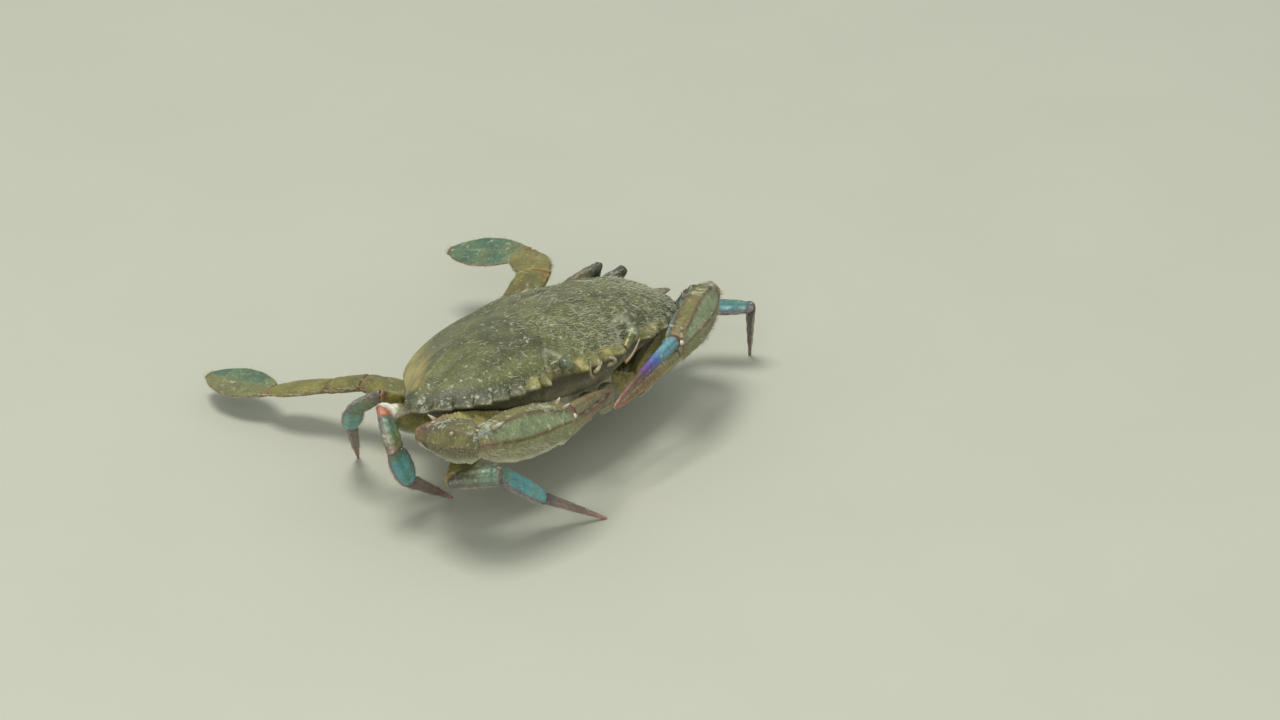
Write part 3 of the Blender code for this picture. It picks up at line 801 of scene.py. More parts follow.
# Limb shells and joints -------------------------------------------------------------------------------
# Ten limbs hang from flat sockets round the thorax: two claws, six walking legs and two swimming
# paddles. Each is a chain of hollow shell tubes, cut square to the half bend at every joint, where thin
# folded skin and two hard knuckles hold it to the next.

GAP = 0.0003
TIP_HEIGHT = 0.0001
THINNEST = 0.00012
RIM_SHARE = 0.22
MEMBRANE_REACH = 0.85
KNUCKLE_SHARE = 0.18
MEMBRANE_ROWS, MEMBRANE_SIDES = 21, 28
KNOB_ROWS = 11
SKIN_RED = (0.190, 0.070, 0.040)
SKIN_DARK = (0.100, 0.052, 0.035)
KNUCKLE_BROWN = (0.520, 0.380, 0.240)


def joints_of(number, side, segments, pose, scale=1.0):
    """(outward direction of the socket, points from the socket to the limb's tip, ways between them).

    The pose gives each segment's heading, in degrees from the crab's left towards its back, and its rise.
    A rise of None brings the segment's tip down to the floor.
    """
    front, rear = socket_corner(number, side), socket_corner(number + 1, side)
    run = rear - front
    outward = np.array(BODY)[:3, :3] @ unit(np.array((run[1] * side, -run[0] * side, 0)))
    joints = [to_world((*(front + rear) / 2, SOCKET_HEIGHT)) + outward * GAP]
    for (_, length), (heading, rise) in zip(segments, pose):
        length *= scale * SPAN
        heading = math.radians(heading)
        if rise is None:
            rise = -math.asin((joints[-1][2] - TIP_HEIGHT) / length)
        else:
            rise = math.radians(rise)
        level = math.cos(rise)
        way = np.array((math.cos(heading) * level, math.sin(heading) * level, math.sin(rise)))
        joints.append(joints[-1] + way * length)
    return outward, np.array(joints), units(np.diff(joints, axis=0))


def cuts_of(outward, ways, last):
    """The normals of the two cuts of each segment: the socket's, those of the half bends, and the last."""
    bends = [unit(way + after) for way, after in zip(ways, ways[1:])]
    return list(zip([outward, *bends], [*bends, last]))


def profile(at, stations, column):
    """A smooth line through a column of the station table."""
    table = np.array(stations)
    return softened(at, table[:, 0], table[:, column], (-0.06, -0.04, -0.02, 0, 0.02, 0.04, 0.06))


def turns_of(rows, sides):
    """The angle of each point of a segment's rings."""
    return np.broadcast_to((np.arange(sides) + 0.5) * 2 * math.pi / sides, (rows, sides))


def segment(start, end, up, cuts, stations, girth, rows, sides, form, neck):
    """A shell tube from joint to joint: (ring points, place along, turn, way out, way above the tube).

    The cuts are the normals at its two joints, the second None at a free tip. form gives the section's
    shape: from (along, turn) the two factors on the half sizes and a height in metres above the section.
    """
    before, after = cuts
    way = unit(end - start)
    length = np.linalg.norm(end - start)
    side, above = across_axes(way, up)
    turn = turns_of(rows, sides)
    cosine, sine = np.cos(turn), np.sin(turn)

    def cut(normal, half_sizes, sign):
        """How far along the way a cut lies at each side of the tube, held back where the bend is sharp.

        The sign is -1 for the cut at the start and 1 for the one at the end.
        """
        if normal is None:
            return np.zeros(sides)
        half_tall, half_wide = half_sizes
        offset = cosine[0][:, None] * side * half_wide + sine[0][:, None] * above * half_tall
        furthest = min(math.tan(math.acos(min(abs(normal @ way), 1))), 0.9) * max(half_sizes)
        return np.minimum(-(offset @ normal) / (normal @ way) * sign, furthest) * sign

    # Rings stand closer together at both ends.
    share = 0.5 - 0.5 * np.cos(np.linspace(0, math.pi, rows))
    share = (0.6 * share + 0.4 * np.linspace(0, 1, rows))[:, None]
    x_start = cut(before, np.array(stations[0][1:]) * girth, -1) + GAP / 2
    x_end = length + cut(after, np.array(stations[-1][1:]) * girth, 1) - GAP / 2
    x = x_start + (x_end - x_start) * share
    along = np.clip(x / length, 0, 1)
    from_start, from_end = x - x_start, x_end - x
    tall, wide = profile(along, stations, 1), profile(along, stations, 2)
    half = 0.5 * (tall + wide) * girth
    rim = RIM_SHARE * half

    def rounded(distance):
        """How far a rim draws in at a distance from the cut."""
        return rim * (1 - np.sqrt(1 - (1 - np.clip(distance / rim, 0, 1)) ** 2))

    # The tube starts in a narrower neck, and swells and narrows a little before its far joint.
    rounding = rounded(from_start)
    size = 1 - neck * bump(from_start, 0, 0.75 * half)
    ends = smoothstep(0, 1, from_start / (0.6 * half))
    if after is not None:
        rounding = rounding + rounded(from_end)
        size = size + 0.035 * bump(from_end, 0.45 * half, 0.22 * half)
        size = size - 0.05 * bump(from_end, 0.95 * half, 0.20 * half)
        ends = ends * smoothstep(0, 1, from_end / (0.5 * half))
    tall_factor, wide_factor, lift = form(along, turn)
    half_tall = np.maximum(tall * girth * size * tall_factor - rounding, THINNEST)
    half_wide = np.maximum(wide * girth * size * wide_factor - rounding, THINNEST)
    outward = units((cosine * half_tall)[..., None] * side + (sine * half_wide)[..., None] * above)
    offset = (cosine * half_wide)[..., None] * side + (sine * half_tall)[..., None] * above
    points = start + x[..., None] * way + offset + outward * (lift * ends)[..., None]
    return points, along, turn, outward, above


membranes, knuckles = [], []


def knuckle(centre, hinge, radius, reach, sides, tone):
    """A hard pale knob that reaches out along the hinge on both sides of its centre."""
    outline = [(s, radius * math.sqrt(max(1 - (2 * s - 1) ** 2, 0.01)))
               for s in np.linspace(0.02, 0.98, KNOB_ROWS)]
    knob = spun(centre - hinge * reach, centre + hinge * reach, outline, sides)
    knuckles.append(one_tone(*tube(knob), tone))


def soft_joint(joint, way_in, way_out, half_sizes, up):
    """The thin folded skin inside a joint, and the two pale knuckles that the joint turns on."""
    half_tall, half_wide = half_sizes
    middle = unit(way_in + way_out)
    side, above = across_axes(middle, up)
    ring = circle(MEMBRANE_SIDES, side * half_wide, above * half_tall)
    reach = MEMBRANE_REACH * min(half_sizes)
    places = np.linspace(-1, 1, MEMBRANE_ROWS)
    rings = []
    for place in places:
        swell = math.sqrt(max(1 - place**4, 0.03)) * (0.90 + 0.035 * math.cos(place * 19))
        rings.append(joint + middle * (place * reach) + ring * swell)
    points, faces = tube(np.array(rings))
    tone = mix(SKIN_RED, SKIN_DARK, np.abs(by_row(places, MEMBRANE_SIDES)))
    membranes.append((points, faces, {"tone": tone}))
    hinge = np.cross(way_in, way_out)
    hinge = unit(hinge) if np.linalg.norm(hinge) > 0.15 else side
    across = math.hypot((hinge @ side) * half_wide, (hinge @ above) * half_tall)
    radius = KNUCKLE_SHARE * min(half_sizes)
    for turned in (1, -1):
        knuckle(joint + hinge * turned * across * 0.93, hinge, radius, radius * 0.8, 14, KNUCKLE_BROWN)


# Claws ------------------------------------------------------------------------------------------------
# Two long heavy arms folded in front of the mouth. Their shell is thick, with keels of fine beads, flat
# faces between them and strong spines on the inner edges. Each ends in a fixed and a moving finger.

# The segments with their lengths. The left claw is a little smaller.
CLAW = (("ischium", 0.070), ("merus", 0.280), ("carpus", 0.140), ("palm", 0.255), ("dactyl", 0.235))
LEFT_CLAW_SCALE = 0.97
LEFT_CLAW_GIRTH = 0.92
CLAW_POSES = {
    "l": ((-16, -28), (14, 5), (-106, 48), (-161, -1), (-179, -11)),
    "r": ((-163, 2), (166, 15), (-99, 14), (-11, -9), (14, -11)),
}
# For each segment its half height and half width at places along it.
CLAW_SECTIONS = {
    "ischium": ((0, 0.026, 0.028), (1, 0.032, 0.031)),
    "merus": (
        (0, 0.032, 0.029), (0.25, 0.040, 0.035), (0.7, 0.047, 0.040), (0.92, 0.044, 0.037), (1, 0.034, 0.030),
    ),
    "carpus": (
        (0, 0.034, 0.030), (0.3, 0.043, 0.039), (0.7, 0.047, 0.043), (0.92, 0.041, 0.037), (1, 0.034, 0.030),
    ),
    "palm": (
        (0, 0.034, 0.029), (0.1, 0.044, 0.036), (0.35, 0.056, 0.043),
        (0.62, 0.056, 0.042), (0.86, 0.046, 0.034), (1, 0.038, 0.029),
    ),
}
CLAW_ROWS = {"ischium": 70, "merus": 110, "carpus": 70, "palm": 110}
CLAW_SIDES = 96
# Keels round each segment, in degrees from the top towards the outer side, and the beads along each.
KEELS = {
    "ischium": (-90, 0, 90, 180),
    "merus": (-75, -8, 72, 150),
    "carpus": (-78, -20, 38, 88, 150),
    "palm": (-88, -22, 22, 80, 120, 156),
}
KEEL_BEADS = {"ischium": 6, "merus": 26, "carpus": 13, "palm": 27}
KEEL_HEIGHT = 0.00055
CLAW_DENT = 0.00016
CLAW_BLUNTNESS = 0.62
PALM_FACE_MIDDLE = 51
# Spines: place along, degrees from the top towards the outer side, length and radius.
CLAW_SPINES = {
    "merus": (
        (0.36, 66, 0.024, 0.0075), (0.60, 68, 0.028, 0.0080), (0.84, 64, 0.024, 0.0075),
        (0.95, -38, 0.018, 0.006),
    ),
    "carpus": ((0.78, -62, 0.034, 0.0085), (0.72, 52, 0.020, 0.0070)),
    "palm": ((0.10, 26, 0.020, 0.0075), (0.90, -22, 0.014, 0.0060), (0.91, 16, 0.013, 0.0060)),
}
SPIKE_ROWS, SPIKE_SIDES = 9, 10
FINGER_SECTIONS = (
    (0, 0.018), (0.08, 0.0178), (0.25, 0.0152), (0.5, 0.0116), (0.72, 0.0084), (0.88, 0.0060), (1, 0.0030),
)
FINGER_ROWS, FINGER_SIDES = 120, 40
FINGER_TIP_ROUNDING = np.array((1, 0.97, 0.92, 0.82, 0.62, 0.3))
FINGER_CLEARANCE = 0.002
FINGER_BOW = 0.004
FINGER_HOOK = 0.0025
FINGER_TOOTH = 0.0052
FINGER_GROOVES = (70, -70, 125, -125)
# The moving finger's hinge: height over the palm's axis, half sizes of its skin, and radius of its knuckles.
HINGE_HEIGHT = 0.019
HINGE_SIZES = (0.0185, 0.0165)
HINGE_KNUCKLE = 0.0062
SPIKE_FOOT = 0.35
PALM_STEP = 0.0004

CLAW_OLIVE = (0.165, 0.158, 0.055)
PALM_WARM = (0.205, 0.185, 0.070)
KEEL_BROWN = (0.130, 0.070, 0.038)
SAGE = (0.205, 0.250, 0.130)
LIGHT_OLIVE = (0.255, 0.262, 0.110)
PALE_BLUE = (0.250, 0.420, 0.440)
WRIST_BLUE = (0.290, 0.360, 0.330)
WRIST_RED = (0.180, 0.080, 0.075)
PALM_END_BROWN = (0.230, 0.160, 0.085)
CARPUS_DARK = (0.100, 0.105, 0.048)
CARPUS_VIOLET = (0.215, 0.160, 0.175)
CARPUS_KEEL = (0.180, 0.120, 0.060)
CARPUS_RED = (0.140, 0.062, 0.065)
ARM_YELLOW = (0.420, 0.370, 0.115)
ARM_OCHRE = (0.300, 0.270, 0.090)
ARM_TOP_PAINTED_LIGHT = (0.420, 0.380, 0.130)
ARM_END_BROWN = (0.150, 0.080, 0.050)
ARM_KEEL = (0.280, 0.170, 0.070)
CLAW_SPINE_ROOT = (0.280, 0.240, 0.130)
CLAW_SPINE_TIP = (0.560, 0.490, 0.440)
CUTTING_EDGE = (0.600, 0.520, 0.400)
KNUCKLE_PALE = (0.660, 0.600, 0.500)
FINGER_ORANGE = (0.210, 0.155, 0.055)
FINGER_TIPS = {"l": (0.420, 0.165, 0.120), "r": (0.240, 0.125, 0.080)}
# Colours along the moving fingers, each with its place. The left one is blue and violet towards its root.
MOVING_FINGERS = {
    "l": (
        (0.18, (0.130, 0.310, 0.360)), (0.32, (0.060, 0.130, 0.330)), (0.47, (0.170, 0.075, 0.300)),
        (0.58, (0.160, 0.090, 0.060)), (0.78, (0.220, 0.115, 0.075)), (0.97, (0.380, 0.175, 0.125)),
    ),
    "r": (
        (0.05, (0.230, 0.200, 0.075)), (0.35, FINGER_ORANGE), (0.72, FINGER_ORANGE), (0.97, FINGER_TIPS["r"]),
    ),
}
FIXED_FINGER = ((0.05, LIGHT_OLIVE), (0.35, (0.280, 0.195, 0.075)), (0.72, (0.250, 0.165, 0.070)))

claw_shell = shell_material("claw_shell", 0.00070, 0.00009, 0.46, mottle=0.24, specks=0.35)
finger_shell = shell_material("finger_shell", 0.00050, 0.00004, 0.36, mottle=0.20, specks=0.10, gloss=0.6)
spine_shell = shell_material("spine_shell", 0.00040, 0.00003, 0.34, mottle=0.15, specks=0.0, gloss=0.6)


def half_turned(degrees):
    """An angle in degrees brought to between -180 and 180."""
    return (degrees + 180) % 360 - 180


def from_top(turn, outer):
    """Angle in degrees from the top of a section towards its outer side, which has cosine outer."""
    return half_turned(np.degrees(math.pi / 2 - turn if outer > 0 else turn - math.pi / 2))


def keel_lines(angle, keels, width):
    """1 on each keel, fading over width degrees; and the flatness of the face between two keels."""
    lines, flat = np.zeros_like(angle), np.ones_like(angle)
    for low, high in zip(keels, (*keels[1:], keels[0] + 360)):
        middle, span = (low + high) / 2, math.radians(high - low) / 2
        off = np.abs(np.radians(half_turned(angle - middle)))
        within = off <= span
        lines = np.maximum(lines, bump(np.degrees(np.abs(off - span)), 0, width) * within)
        narrowing = 0.76 if span > 0.75 else 1.0
        chord = max(math.cos(span), 0.72) / np.cos(np.minimum(off, span) * narrowing)
        flat = np.where(within, np.minimum(chord, 1), flat)
    return lines, flat


def drawn_together(part, along, angle):
    """Angles warped so that the two keels of the palm's outer face meet near both of its ends."""
    if part != "palm":
        return angle
    pinch = 0.80 * smoothstep(0.40, 1.0, along) + 0.30 * smoothstep(0.35, 0.0, along)
    off = angle - PALM_FACE_MIDDLE
    return PALM_FACE_MIDDLE + off * (1 + pinch * bump(off, 0, 42))


def claw_form(part, outer):
    def form(along, turn):
        angle = drawn_together(part, along, from_top(turn, outer))
        lines, flat = keel_lines(angle, KEELS[part], 6.5)
        flat = 1 - CLAW_BLUNTNESS * (1 - flat)
        beads = 0.70 + 0.30 * np.cos(along * KEEL_BEADS[part] * 2 * math.pi)
        dents = CLAW_DENT * np.sin(along * 23 + np.radians(angle) * 3) * np.sin(along * 11 + 1.3)
        return flat, flat, KEEL_HEIGHT * lines * beads + dents
    return form


def claw_tone(part, along, angle, points):
    """The colours of a claw's segment: olive and sage faces, brown keels, blue inside, cream below."""
    angle = drawn_together(part, along, angle)
    lines, _ = keel_lines(angle, KEELS[part], 6.0)
    cloud = clouds(-0.6, 0.8, points, 0.009, 21)
    inside = smoothstep(-25, -60, angle) * smoothstep(-175, -150, angle)
    below = smoothstep(118, 158, np.abs(angle))
    if part == "palm":
        tone = mix(CLAW_OLIVE, PALM_WARM, cloud)
        facet = smoothstep(22, 29, angle) * smoothstep(82, 75, angle)
        tone = mix(tone, SAGE, facet * smoothstep(0.0, 0.12, along))
        tone = mix(tone, mix(LIGHT_OLIVE, SAGE, 0.4 * cloud), 0.8 * smoothstep(82, 88, angle))
        tone = mix(tone, PALE_BLUE, 0.9 * inside)
        tone = mix(tone, KEEL_BROWN, 0.68 * lines * smoothstep(72, 60, np.abs(angle - 36)))
        wrist = smoothstep(0.16, 0.02, along)
        tone = mix(tone, WRIST_BLUE, 0.7 * wrist * smoothstep(40, 0, np.abs(angle - 15)))
        tone = mix(tone, WRIST_RED, 0.5 * wrist * smoothstep(35, 5, np.abs(angle - 85)))
        tone = mix(tone, PALM_END_BROWN, 0.6 * smoothstep(0.90, 0.99, along))
    elif part == "carpus":
        tone = mix(CLAW_OLIVE, CARPUS_DARK, cloud)
        upper = smoothstep(-30, -15, angle) * smoothstep(50, 38, angle)
        tone = mix(tone, CARPUS_VIOLET, 0.55 * lines * upper)
        tone = mix(tone, CARPUS_KEEL, 0.45 * lines)
        tone = mix(tone, CARPUS_RED, (0.40 + 0.45 * cloud) * smoothstep(0.26, 0.06, along))
        tone = mix(tone, PALE_BLUE, 0.6 * inside)
    else:
        tone = mix(ARM_YELLOW, ARM_OCHRE, cloud)
        if part == "merus":
            # Painted light: the merus is painted lighter along its top.
            tone = mix(tone, ARM_TOP_PAINTED_LIGHT, 0.7 * smoothstep(75, 25, np.abs(angle)))
        tone = mix(tone, ARM_END_BROWN, 0.9 * smoothstep(0.84, 0.96, along))
        tone = mix(tone, ARM_KEEL, 0.5 * lines)
    return mix(tone, CREAM, 0.85 * below)


def claw_fringe(part, along, angle):
    """How thickly bristles stand on a claw's segment: in a band along its lower outer edge."""
    if part == "carpus":
        return bump(angle, 100, 15) * smoothstep(0.1, 0.25, along)
    if part == "merus":
        return 0.8 * bump(angle, 66, 13)
    if part == "palm":
        return 0.55 * bump(angle, 112, 12) * smoothstep(0.9, 0.6, along)
    return np.zeros_like(along)


def at_place(points, outward, along, angle, where, degrees):
    """The shell point and its outward direction nearest to a place along and an angle from the top."""
    away = np.abs(along - where) * 4 + np.radians(np.abs(half_turned(angle - degrees)))
    row, column = np.unravel_index(np.argmin(away), away.shape)
    return points[row, column], outward[row, column]


def spike(root, way, length, radius, bow):
    """A pointed tooth sunk a little into the shell, its tip drawn over by bow; and the place along it."""
    way = unit(way)
    share = np.linspace(-SPIKE_FOOT, 1, SPIKE_ROWS)
    ring = circle(SPIKE_SIDES, *across_axes(way))
    rings = []
    for place in share:
        out = max(place, 0)
        centre = root + way * (length * place) + bow * (length * out**2)
        rings.append(centre + ring * radius * (0.06 + 0.94 * (1 - out) ** 0.8))
    return (*tube(np.array(rings)), by_row(share, SPIKE_SIDES))


def shell_piece(name, node, grid, tone, silt, material, slot):
    points, faces = tube(grid)
    new_piece(name, points, faces, material, slot, [node], tone=over_tube(tone), silt=over_tube(silt))


# Bristles thin out between these two heights over the floor.
BRISTLE_HEIGHTS = (0.0030, 0.0060)
fringed = []


def keep_fringe(limb, part, grid, along, turn, fringe, lay):
    """Keeps a segment for its bristles, with its own cell, by limb and part, in the unwrapped shell."""
    fringe = fringe * smoothstep(*BRISTLE_HEIGHTS, grid[..., 2])
    if np.max(fringe) > 0:
        u = (limb + 0.05 + 0.9 * turn / (2 * math.pi)) / 10
        v = (part + 0.05 + 0.9 * along) / 5
        skin = np.stack([u, v, np.zeros_like(u)], 2)
        rooted = {"fringe": over_tube(fringe), "skin": over_tube(skin), "lay": over_tube(lay)}
        fringed.append((*tube(grid), rooted))


def finger(name, node, root, way, palm_way, above, length, lift_way, girth, colours):
    """One finger: a tapered grooved blade, its cutting edge set with blunt teeth, its tip hooked inwards."""
    along = np.linspace(0, 1, FINGER_ROWS)
    half = profile(along, FINGER_SECTIONS, 1) * girth
    half[0] = FINGER_SECTIONS[0][1] * girth * 0.94
    half[-6:] = half[-6:] * FINGER_TIP_ROUNDING
    lift = (half + (FINGER_CLEARANCE + FINGER_BOW * np.sin(math.pi * along)) * girth) * lift_way
    lift = lift - lift_way * FINGER_HOOK * girth * smoothstep(0.86, 1.0, along)
    centres = root + way * (length * along)[:, None] + above * lift[:, None]
    turn = turns_of(1, FINGER_SIDES)[0]
    cosine, sine = np.cos(turn), np.sin(turn)
    inner = half_turned(np.degrees(turn) + 90 * lift_way)
    edge = bump(np.radians(inner), 0, 0.28)
    grooves = sum(bump(half_turned(inner - at), 0, 11) for at in FINGER_GROOVES)
    bite = np.abs(np.sin(along * math.pi * 19)) ** 0.8 * (0.55 + 0.45 * np.cos(along * 31))
    teeth = FINGER_TOOTH * girth * bite * smoothstep(0.0, 0.06, along) * smoothstep(1.0, 0.9, along)
    grid = []
    for i, centre in enumerate(centres):
        heading = unit(palm_way + (way - palm_way) * min(along[i] / 0.3, 1))
        side, high = across_axes(heading, above)
        radius = half[i] * (1 - 0.07 * grooves) + teeth[i] * edge
        grid.append(centre + (cosine * radius * 0.86)[:, None] * side + (sine * radius)[:, None] * high)
    shape = (FINGER_ROWS, FINGER_SIDES)
    place = np.broadcast_to(along[:, None], shape)
    stops, shades = zip(*colours)
    tone = np.stack([np.interp(place, stops, np.array(shades)[:, i]) for i in range(3)], 2)
    tone = mix(tone, CUTTING_EDGE, 0.8 * np.broadcast_to(edge, shape) * smoothstep(0.02, 0.1, place))
    # Painted shade: the colour is darkened in the grooves along the finger.
    tone = mix(tone, tone * 0.35, 0.45 * np.broadcast_to(grooves, shape))
    shell_piece(name, node, np.array(grid), tone, np.full(shape, 0.06), finger_shell, "orange_finger")


def claw(side, letter, number, scale, girth):
    name = f"claw_{letter}"
    outward, joints, ways = joints_of(0, side, CLAW, CLAW_POSES[letter], scale)
    cuts = cuts_of(outward, ways[:4], ways[3])
    up = np.array((0.0, 0.0, 1.0))
    girth *= SPAN
    spines = []
    for i, (part, _) in enumerate(CLAW[:4]):
        way = ways[i]
        reference = np.array((side, -0.3, 0)) if part == "carpus" else np.array((0, -1.0, 0))
        outer = 1 if unit(np.cross(up, way)) @ reference > 0 else -1
        stations = CLAW_SECTIONS[part]
        grid, along, turn, out, _ = segment(
            joints[i], joints[i + 1], up, cuts[i], stations, girth, CLAW_ROWS[part], CLAW_SIDES,
            claw_form(part, outer), neck=0.20 if part == "palm" else 0.15,
        )
        angle = from_top(turn, outer)
        tone = claw_tone(part, along, angle, grid)
        silt = 0.10 + 0.22 * smoothstep(60, 0, np.abs(angle)) * clouds(-0.4, 0.6, grid, 0.008, 31 + i)
        silt = silt * smoothstep(140, 110, np.abs(angle))
        shell_piece(f"{name}_{part}_shell", f"{name}_{part}", grid, tone, silt, claw_shell, "olive_shell")
        keep_fringe(number, i, grid, along, turn, claw_fringe(part, along, angle), out * 0.8 + way * 0.6)
        for where, degrees, tall, thick in CLAW_SPINES.get(part, ()):
            root, out_way = at_place(grid, out, along, angle, where, degrees)
            points, faces, share = spike(root, out_way + 0.75 * way, tall * girth, thick * girth, way * 0.25)
            shade = mix(CLAW_SPINE_ROOT, CLAW_SPINE_TIP, smoothstep(0.1, 0.8, share))
            spines.append((points, faces, {"tone": shade}))
        if i:
            soft_joint(joints[i], ways[i - 1], way, np.array(stations[0][1:]) * girth * 0.90, up)
    joined_piece(f"{name}_spines", spines, spine_shell, "olive_shell")

    palm_way, way, palm_end = ways[3], ways[4], joints[4]
    length = np.linalg.norm(joints[5] - palm_end)
    palm_side, palm_above = across_axes(palm_way, up)
    finger(
        f"{name}_fixed_finger", f"{name}_palm", palm_end + palm_way * PALM_STEP, way, palm_way,
        palm_above, length, -1, girth, (*FIXED_FINGER, (0.97, FINGER_TIPS[letter])),
    )
    finger(
        f"{name}_moving_finger", f"{name}_dactyl", palm_end + palm_way * (PALM_STEP + GAP), way, palm_way,
        across_axes(way, up)[1], length, 1, girth, MOVING_FINGERS[letter],
    )
    # The moving finger turns on two pale knuckles at the sides of its root.
    hinge = palm_end + palm_above * HINGE_HEIGHT * girth
    soft_joint(hinge, palm_way, palm_way, np.array(HINGE_SIZES) * girth, up)
    radius = HINGE_KNUCKLE * girth
    for turned in (1, -1):
        centre = hinge + palm_side * turned * HINGE_SIZES[1] * girth
        knuckle(centre, palm_side, radius, radius, 16, KNUCKLE_PALE)


claw(1, "l", 0, LEFT_CLAW_SCALE, LEFT_CLAW_GIRTH)
claw(-1, "r", 1, 1.0, 1.0)


# Walking legs -----------------------------------------------------------------------------------------
# Three pairs of thin legs, flattened from front to back, that carry the crab on their tips. The shell is
# smooth, with a groove along each flat side, a bristled edge above and below, and a spear-like last joint.

WALKING = (("ischium", 0.055), ("merus", 0.215), ("carpus", 0.095), ("propodus", 0.140), ("dactyl", 0.165))
FOURTH_LEG_SCALE = 0.95
FOURTH_LEG_GIRTH = 0.88
WALKING_POSES = {
    "leg2_l": ((13, -20), (13, -3), (-17, 20), (-57, 1), (36, None)),
    "leg2_r": ((-206, -19), (-162, -2), (-51, 6), (-21, -39), (-30, None)),
    "leg3_l": ((38, -26), (37, 17), (-20, 17), (60, -55), (188, None)),
    "leg3_r": ((173, -16), (157, 27), (-128, -30), (17, -54), (-4, None)),
    "leg4_l": ((36, -15), (33, 23), (-20, 14), (40, -45), (161, None)),
    "leg4_r": ((153, -4), (169, 35), (90, -38), (42, -44), (30, None)),
}
WALKING_SECTIONS = {
    "ischium": ((0, 0.021, 0.017), (1, 0.024, 0.018)),
    "merus": (
        (0, 0.021, 0.016), (0.15, 0.026, 0.018), (0.55, 0.029, 0.019), (0.88, 0.027, 0.018),
        (1, 0.021, 0.015),
    ),
    "carpus": ((0, 0.019, 0.014), (0.35, 0.023, 0.016), (0.8, 0.025, 0.017), (1, 0.020, 0.014)),
    "propodus": ((0, 0.019, 0.012), (0.25, 0.025, 0.014), (0.7, 0.024, 0.014), (1, 0.017, 0.011)),
    "dactyl": (
        (0, 0.0155, 0.010), (0.15, 0.0130, 0.009), (0.6, 0.0085, 0.006), (0.9, 0.0045, 0.0035),
        (1, 0.0035, 0.0030),
    ),
}
WALKING_ROWS = {"ischium": 40, "merus": 84, "carpus": 60, "propodus": 76, "dactyl": 76}
WALKING_SIDES = 56
WALKING_BRISTLES = {"ischium": 0, "merus": 0.25, "carpus": 0.45, "propodus": 0.8, "dactyl": 0.9}
LEG_GROOVE = 0.00030
LEG_RIDGE = 0.00010
LEG_KEEL = 0.00018
LEG_DENT = 0.00006
FLOOR_CLEARANCE = 0.00002

LEG_YELLOW = (0.270, 0.245, 0.070)
LEG_OLIVE = (0.200, 0.205, 0.075)
LEG_BROWN = (0.160, 0.120, 0.055)
LEG_GREEN = (0.125, 0.205, 0.135)
LEG_BLUE = (0.115, 0.370, 0.390)
LEG_TEAL = (0.150, 0.350, 0.290)
LEG_VIOLET = (0.200, 0.120, 0.190)
JOINT_RED = (0.330, 0.120, 0.060)
JOINT_WHITE = (0.860, 0.820, 0.680)
JOINT_ORANGE = (0.480, 0.150, 0.065)
KNEE_MOSS = (0.155, 0.175, 0.080)
KNEE_BROWN = (0.110, 0.075, 0.065)
KNEE_TEAL = (0.070, 0.095, 0.070)
KNEE_OLIVE = (0.060, 0.082, 0.052)
KNEE_VIOLET = (0.170, 0.110, 0.130)
KNEE_ENDS = {True: (0.075, 0.070, 0.042), False: (0.190, 0.110, 0.080)}
SHIN_END = (0.170, 0.095, 0.095)
DACTYL_GREY = (0.130, 0.120, 0.110)
DACTYL_BROWN = (0.220, 0.165, 0.130)
DACTYL_MAUVE = (0.230, 0.135, 0.150)
DACTYL_ROOT = (0.210, 0.105, 0.095)
DACTYL_PINK = (0.420, 0.210, 0.165)

leg_shell = shell_material("leg_shell", 0.00060, 0.00004, 0.40, mottle=0.22, specks=0.25, gloss=0.55)


def leg_form(part):
    def form(along, turn):
        upright = np.abs(np.sin(turn))
        off_middle = np.degrees(np.arcsin(np.sin(turn)))
        groove = bump(off_middle, 0, 13) * smoothstep(0.05, 0.2, along) * smoothstep(1.0, 0.85, along)
        ridges = bump(np.abs(off_middle), 30, 9)
        lift = LEG_RIDGE * ridges - LEG_GROOVE * groove + LEG_KEEL * bump(upright, 1, 0.02)
        if part == "dactyl":
            lift = lift * smoothstep(1.0, 0.6, along) * 0.9
        dents = LEG_DENT * np.sin(along * 27 + turn * 2)
        return np.ones_like(turn), 1 - 0.06 * upright, lift + dents
    return form


